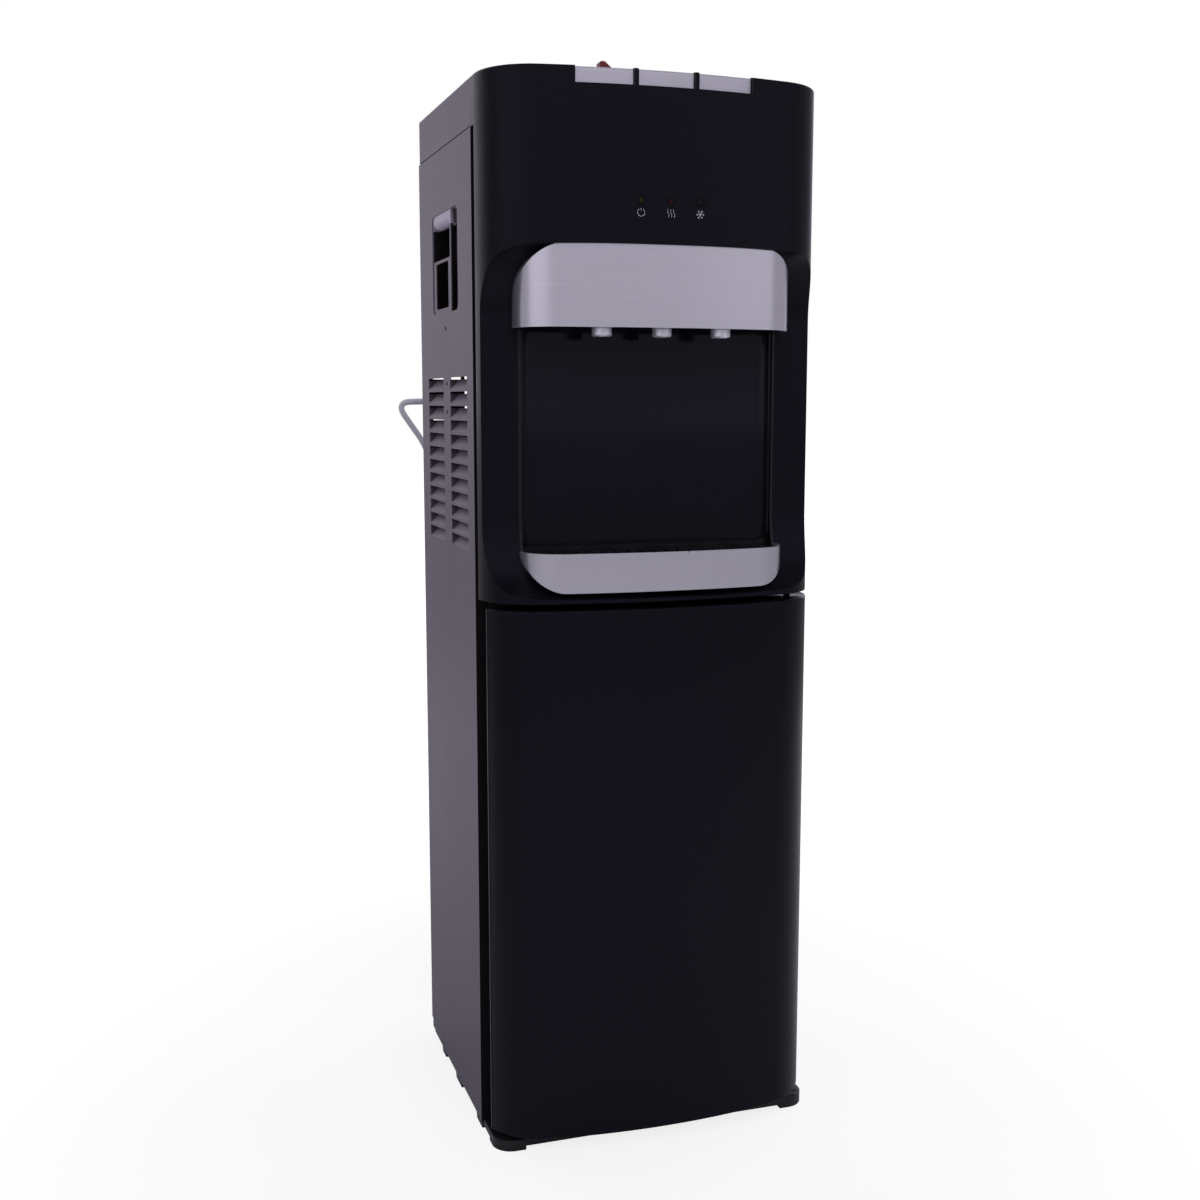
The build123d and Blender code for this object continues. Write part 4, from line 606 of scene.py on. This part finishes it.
def dress_nodes():
    """The finish of every CAD node, apart from the cord's own line."""
    zinc = zinc_sheet()
    # The door frame's zinc gets black painted shade on its front faces, for the dark gap round the
    # door
    gap_shaded_zinc = zinc_sheet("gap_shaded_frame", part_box("front_uprights")[0].y)
    white = tinted_plastic("valve_white", shade(214, 213, 208), 0.4)
    dress(["front_cover", "door_outer"], black_moulding())
    dress(["left_side_panel", "right_side_panel"], panel_paint())
    dress(["top_cover"], cover_moulding())
    dress(["left_handle", "right_handle"], grip_moulding())
    dress(["splash_plate"], gloss_plate())
    dress(["bay_liner", "tap_deck"], satin_black("bay_black", 18, 0.3))
    dress(["drip_grille"], satin_black("grille_black", 20, 0.45, 0.2))
    dress(["drip_tray", "base_pan", "door_inner", "switch_cases", "control_box"], satin_black())
    dress(["tap_cover", "tray_trim"], brushed_silver())
    dress(["hot_button", "room_button", "cold_button"], silver_paint())
    # The nozzles' paler paint is painted light, against the shade under the tap cover
    dress(["hot_nozzle", "room_nozzle", "cold_nozzle"], silver_paint("nozzle_silver_painted_light", 44, 0.2))
    dress(["child_lock"], tinted_plastic("lock_red", shade(94, 25, 27), 0.45))
    dress(["power_lamp"], lamp_lens("power_lamp", shade(40, 41, 13)))
    dress(["heat_lamp"], lamp_lens("heat_lamp", shade(42, 19, 16)))
    dress(["cool_lamp"], lamp_lens("cool_lamp", shade(20, 26, 29)))
    dress(["lamp_board"], circuit_board())
    dress(["tap_bodies", "hot_rod", "room_rod", "cold_rod", "water_pump"], white)
    dress(["button_shaft", "upper_hinge", "lower_hinge"], plated_steel())
    dress(["front_uprights", "door_header"], gap_shaded_zinc)
    dress(["mid_shelf", "tank_shelf", "upper_rear_panel", "lower_rear_panel"], zinc)
    dress(["door_gasket"], rubber("gasket_rubber", 62))
    dress(["compressor_grommets", "cord_gland"], rubber("black_rubber", 24))
    dress(["compressor", "condenser_tube", "condenser_wires", "condenser_clips"], black_enamel())
    dress(["hot_tank", "cold_tank"], foam_jacket())
    dress(["water_pipes"], tinted_plastic("silicone_hose", shade(206, 206, 200), 0.35))
    dress(["heat_rocker"], tinted_plastic("rocker_red", shade(168, 36, 32), 0.25))
    dress(["cool_rocker"], tinted_plastic("rocker_blue", shade(40, 78, 158), 0.25))
    dress(["cord_tie"], tinted_plastic("tie_black", shade(26, 26, 27), 0.5))
    dress(["plug"], plug_body())


def add(name, data):
    """A new object in the scene, at the origin."""
    made = bpy.data.objects.new(name, data)
    bpy.context.scene.collection.objects.link(made)
    return made


def piece(name, mesh, material, body):
    """A finished piece, with its place in its mesh."""
    made = add(name, mesh)
    mesh.materials.append(material)
    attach(made, body)


def mesh_from(name, shape):
    """A mesh with its faces outward, made from a bmesh that is then freed."""
    mesh = bpy.data.meshes.new(name)
    bmesh.ops.recalc_face_normals(shape, faces=shape.faces)
    shape.to_mesh(mesh)
    shape.free()
    return mesh


def stand(shape, place, out):
    """Moves a shape that stands at the origin onto a face at place that looks along out."""
    turn = UP.rotation_difference(Vector(out)).to_matrix().to_4x4()
    bmesh.ops.transform(shape, matrix=Matrix.Translation(place) @ turn, verts=shape.verts)


def round_line(name, radius, resolution):
    """A curve with a round section and closed ends, still without points."""
    curve = bpy.data.curves.new(name, "CURVE")
    curve.dimensions = "3D"
    curve.bevel_depth = radius
    curve.bevel_resolution = resolution
    curve.use_fill_caps = True
    return curve


def cord_route():
    """Control points of the cord in millimetres: free route, half turns of the coil, and tail."""
    points = [Vector(CORD_OUTLET), *(Vector(p) for p in CORD_BENDS)]
    point = Vector(COIL_START)
    heading = Vector((1, 0, 0))
    step = math.pi / COIL_STEPS
    inward = [COIL_OUTER - i * COIL_PITCH / 2 for i in range(COIL_HALF_TURNS)]
    inner = COIL_OUTER - COIL_HALF_TURNS * COIL_PITCH / 2
    for radius in [*inward, inner, *reversed(inward)]:
        left = UP.cross(heading)
        middle = point + left * radius
        climb = COIL_PITCH if radius == inner else 0.0
        reach = radius / math.cos(step / 2)
        for i in range(COIL_STEPS):
            turn = (i + 0.5) * step
            around = heading * math.sin(turn) - left * math.cos(turn)
            points.append(middle + around * reach + UP * climb * turn / math.pi)
        point = point + left * 2 * radius + UP * climb
        heading = -heading
    return [*points, point, point + heading * COIL_TAIL]


def mains_cord():
    """The cord as one smooth line, laid where its CAD solids are."""
    route = cord_route()
    curve = round_line("mains_cord", CORD_RADIUS, 4)
    line = curve.splines.new("NURBS")
    line.points.add(len(route) - 1)
    for spot, place in zip(line.points, route):
        spot.co = (*(place * MM), 1.0)
    line.order_u = 3
    line.use_endpoint_u = True
    line.resolution_u = 8
    line.use_smooth = True
    cord = add("mains_cord", curve)
    curve.materials.append(cord_sheath())
    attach(cord, "cabinet")
    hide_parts("power_cord", "cord_coil")


def front_place(x):
    """Place and outward direction of the bowed front at x."""
    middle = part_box("front_cover")[0].y + FRONT_RADIUS
    out = Vector((x / FRONT_RADIUS, -math.sqrt(1 - (x / FRONT_RADIUS) ** 2), 0))
    return Vector((0, middle, 0)) + out * FRONT_RADIUS, out


def lamp_place(lamp, drop=0.0):
    """Place on the bowed front at a lamp's middle, or drop under it, and the direction out."""
    low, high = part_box(lamp)
    place, out = front_place((low.x + high.x) / 2)
    place.z = (low.z + high.z) / 2 - drop
    return place, out


def strokes_mesh(name, strokes, place, out):
    """Thin raised print: strokes are lines in the unit square, on a face that looks along out."""
    curve = round_line(name, MARK_STROKE, 1)
    for stroke in strokes:
        line = curve.splines.new("POLY")
        line.points.add(len(stroke) - 1)
        for spot, (x, z) in zip(line.points, stroke):
            spot.co = (x * MARK_SIZE, z * MARK_SIZE, 0, 1)
    holder = bpy.data.objects.new(name, curve)
    mesh = bpy.data.meshes.new_from_object(holder)
    bpy.data.objects.remove(holder)
    side = UP.cross(out).normalized()
    turn = Matrix((side, UP, out)).transposed().to_4x4()
    flat = Matrix.Diagonal((1, 1, MARK_THICK / MARK_STROKE, 1))
    mesh.transform(Matrix.Translation(place) @ turn @ flat)
    return mesh


def bearing(degrees):
    """Direction in a sign's plane."""
    angle = math.radians(degrees)
    return Vector((math.cos(angle), math.sin(angle)))


def power_sign():
    """An open ring with a bar in its gap."""
    start, end = POWER_SWEEP
    degrees = [start + (end - start) * i / POWER_STEPS for i in range(POWER_STEPS + 1)]
    ring = [bearing(d) * POWER_RADIUS for d in degrees]
    return [ring, [(0, z) for z in POWER_BAR]]


def heat_sign():
    """Three rising waves."""
    steps = [i / WAVE_STEPS for i in range(WAVE_STEPS + 1)]
    return [[(x + WAVE_SWAY * math.sin(math.tau * s), WAVE_HALF * (2 * s - 1)) for s in steps]
            for x in WAVE_PLACES]


def snow_sign():
    """Three crossing lines, with a chevron near each of their six ends."""
    stems = [bearing(60 * i) for i in range(6)]
    lines = [[stem * -SNOW_ARM, stem * SNOW_ARM] for stem in stems[:3]]
    for stem in stems:
        spread = Vector((-stem.y, stem.x)) * SNOW_SPREAD
        lines.append([stem * SNOW_TIP + spread, stem * SNOW_KNEE, stem * SNOW_TIP - spread])
    return lines


def lamp_signs():
    """Power, heat and cold signs printed under the three lamps."""
    ink = print_ink()
    for lamp, sign in zip(LAMPS, (power_sign(), heat_sign(), snow_sign())):
        mesh = strokes_mesh(lamp + "_sign", sign, *lamp_place(lamp, MARK_DROP))
        piece(lamp + "_sign", mesh, ink, "cabinet")


def lamp_bezels():
    """Dark rings with a chamfered rim round the three lamps."""
    black = satin_black("bezel_black", 9, 0.6, 0.05)
    for lamp in LAMPS:
        low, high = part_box(lamp)
        inner = (high.z - low.z) / 2
        outer = inner + BEZEL_WIDTH
        outline = ((inner, -BEZEL_HEIGHT), (inner, BEZEL_HEIGHT),
                   (outer - BEZEL_HEIGHT, BEZEL_HEIGHT), (outer, -BEZEL_HEIGHT))
        shape = bmesh.new()
        corners = [shape.verts.new((r, 0, h)) for r, h in outline]
        edges = [shape.edges.new((a, b)) for a, b in zip(corners, [*corners[1:], corners[0]])]
        bmesh.ops.spin(shape, geom=[*corners, *edges], cent=(0, 0, 0), axis=UP, dvec=(0, 0, 0),
                       angle=math.tau, steps=BEZEL_STEPS, use_merge=True)
        stand(shape, *lamp_place(lamp))
        piece(lamp + "_bezel", mesh_from(lamp + "_bezel", shape), black, "cabinet")


def screw(name, place, out, radius, material):
    """Pan-head screw with a raised cross, its head standing on a face that looks along out."""
    height = radius * SCREW_HEIGHT
    shape = bmesh.new()
    bmesh.ops.create_cone(shape, cap_ends=True, segments=20, radius1=radius,
                          radius2=radius * SCREW_TOP, depth=height)
    top = [e for e in shape.edges if all(v.co.z > 0 for v in e.verts)]
    bmesh.ops.bevel(shape, geom=top, offset=height * SCREW_ROUND, affect="EDGES", segments=3,
                    profile=0.5, material=-1)
    bmesh.ops.translate(shape, verts=shape.verts, vec=(0, 0, height / 2))
    for x, y in ((SCREW_CROSS / 2, SCREW_SLOT / 2), (SCREW_SLOT / 2, SCREW_CROSS / 2)):
        cross = bmesh.ops.create_cube(shape, size=2.0)["verts"]
        bmesh.ops.scale(shape, verts=cross, vec=(radius * x, radius * y, height * SCREW_RAISE))
        bmesh.ops.translate(shape, verts=cross, vec=(0, 0, height))
    stand(shape, place, out)
    piece(name, mesh_from(name, shape), material, "cabinet")


def bar(shape, low, high, turn=0.0):
    """A bar between two corners with eased edges, turned about its own middle line along X."""
    made = bmesh.ops.create_cube(shape, size=1.0)["verts"]
    middle = (Vector(low) + Vector(high)) / 2
    tilt = Matrix.Rotation(math.radians(turn), 3, "X")
    bmesh.ops.scale(shape, verts=made, vec=Vector(high) - Vector(low))
    bmesh.ops.rotate(shape, verts=made, cent=(0, 0, 0), matrix=tilt)
    bmesh.ops.translate(shape, verts=made, vec=middle)
    edges = list({e for v in made for e in v.link_edges})
    bmesh.ops.bevel(shape, geom=edges, offset=CAP_EASE, affect="EDGES", segments=2, profile=0.5,
                    material=-1)


def gap_caps():
    """Slatted caps at both ends of the gap between the rear panels, beside the cord's outlet."""
    black = satin_black("cap_black", 24, 0.45)
    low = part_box("lower_rear_panel")[1]
    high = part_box("upper_rear_panel")[0]
    back = high.y
    front = back - CAP_THICK
    outer = low.x
    inner = outer - CAP_WIDTH
    pitch = (high.z - low.z) / CAP_SLATS
    for name, way in SIDES:
        shape = bmesh.new()
        for edge in (outer - CAP_RIM, inner):
            left, right = sorted((way * edge, way * (edge + CAP_RIM)))
            bar(shape, (left, front, low.z), (right, back, high.z))
        left, right = sorted((way * (inner + CAP_RIM / 2), way * (outer - CAP_RIM / 2)))
        for i in range(CAP_SLATS):
            middle = low.z + (i + 0.5) * pitch
            bar(shape, (left, front + CAP_THICK / 4, middle - CAP_SLAT / 2),
                (right, back - CAP_THICK / 4, middle + CAP_SLAT / 2), CAP_TILT)
        mesh = mesh_from(f"gap_cap_{name}", shape)
        piece(f"gap_cap_{name}", mesh, black, "cabinet")


def screws():
    """Black screws in the side panels and plated ones along the rear panels' edges."""
    dark = tinted_plastic("screw_black", shade(34, 32, 36), 0.35)
    for side, way in SIDES:
        for i, (y, z) in enumerate(PANEL_SCREW_PLACES):
            place = (way * HALF_WIDTH, y * MM, z * MM)
            screw(f"screw_{side}_{i}", place, (way, 0, 0), PANEL_SCREW, dark)
    plated = plated_steel("screw_plated")
    for node in ("upper_rear_panel", "lower_rear_panel"):
        low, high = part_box(node)
        heights = (low.z + SCREW_INSET, (low.z + high.z) / 2, high.z - SCREW_INSET)
        for i, z in enumerate(heights):
            for side, x in (("left", low.x + SCREW_INSET), ("right", high.x - SCREW_INSET)):
                name = f"{node}_screw_{side}_{i}"
                screw(name, (x, high.y, z), (0, 1, 0), REAR_SCREW, plated)


def studio():
    """Camera, pale floor, soft lights and a white surround behind the object."""
    camera = add("camera", bpy.data.cameras.new("camera"))
    camera.data.lens = CAMERA_LENS
    camera.data.sensor_width = CAMERA_SENSOR
    camera.location = CAMERA_PLACE
    camera.rotation_euler = (math.pi / 2 - CAMERA_PITCH, 0, -CAMERA_YAW)
    bpy.context.scene.camera = camera
    floor()
    for lamp in STUDIO_LAMPS:
        softbox(*lamp)
    surround()
    bpy.context.scene.view_settings.view_transform = "Standard"


def floor():
    """Pale floor that is white to the camera and keeps the object's shadow near its feet."""
    shape = bmesh.new()
    bmesh.ops.create_grid(shape, x_segments=1, y_segments=1, size=FLOOR_SIZE)
    mesh = mesh_from("floor", shape)
    ground = add("floor", mesh)
    f = Finish("floor_white", (0.5, 0.5, 0.5, 1), 0.9)
    away = f.node("ShaderNodeVectorMath", {"operation": "LENGTH"}, {0: f.place}, out="Value")
    seen = f.node("ShaderNodeLightPath", out="Is Camera Ray")
    glow = f.node("ShaderNodeEmission", None, {"Strength": FLOOR_GLOW})
    share = seen * f.between(away, *FLOOR_FADE, FLOOR_NEAR, 1.0)
    paint = Value(f, f.shader.outputs[0])
    both = f.node("ShaderNodeMixShader", None, {0: share, 1: paint, 2: glow})
    f.tree.links.new(both.socket, f.tree.nodes["Material Output"].inputs["Surface"])
    mesh.materials.append(f.material)


def softbox(name, place, target, size, power):
    """A square lamp that lights the object and shows in no reflection."""
    lamp = bpy.data.lights.new(name, "AREA")
    lamp.size = size
    lamp.energy = power
    lamp.color = STUDIO_TINT[:3]
    made = add(name, lamp)
    made.location = place
    made.rotation_euler = (Vector(target) - Vector(place)).to_track_quat("-Z", "Y").to_euler()
    made.visible_glossy = False


def surround():
    """White for what the camera sees; around the object a bright rear and softer sides."""
    world = bpy.data.worlds.new("studio")
    bpy.context.scene.world = world
    world.use_nodes = True
    walls = Nodes(world.node_tree, "Generated")

    def wall(along, start, full, brightness):
        return walls.between(along, start, full) * brightness

    x = walls.axis("X")
    y = walls.axis("Y")
    rear = wall(y, *REAR_WALL)
    front = wall(y * -FRONT_AHEAD - x * FRONT_ASIDE, *FRONT_WALL)
    left = wall(x, *LEFT_WALL)
    right = wall(x, *RIGHT_WALL)
    camera = walls.node("ShaderNodeLightPath", out="Is Camera Ray")
    through = walls.node("ShaderNodeLightPath", out="Is Transmission Ray")
    seen = walls.math("MAXIMUM", camera, through)
    glow = walls.math("MAXIMUM", seen, rear + front + left + right + DIM)
    sky = walls.tree.nodes["Background"]
    walls.feed(sky.inputs["Strength"], glow)
    walls.feed(sky.inputs["Color"], walls.blend(STUDIO_TINT, WHITE, seen))


dress_nodes()
mains_cord()
lamp_signs()
lamp_bezels()
gap_caps()
screws()
studio()
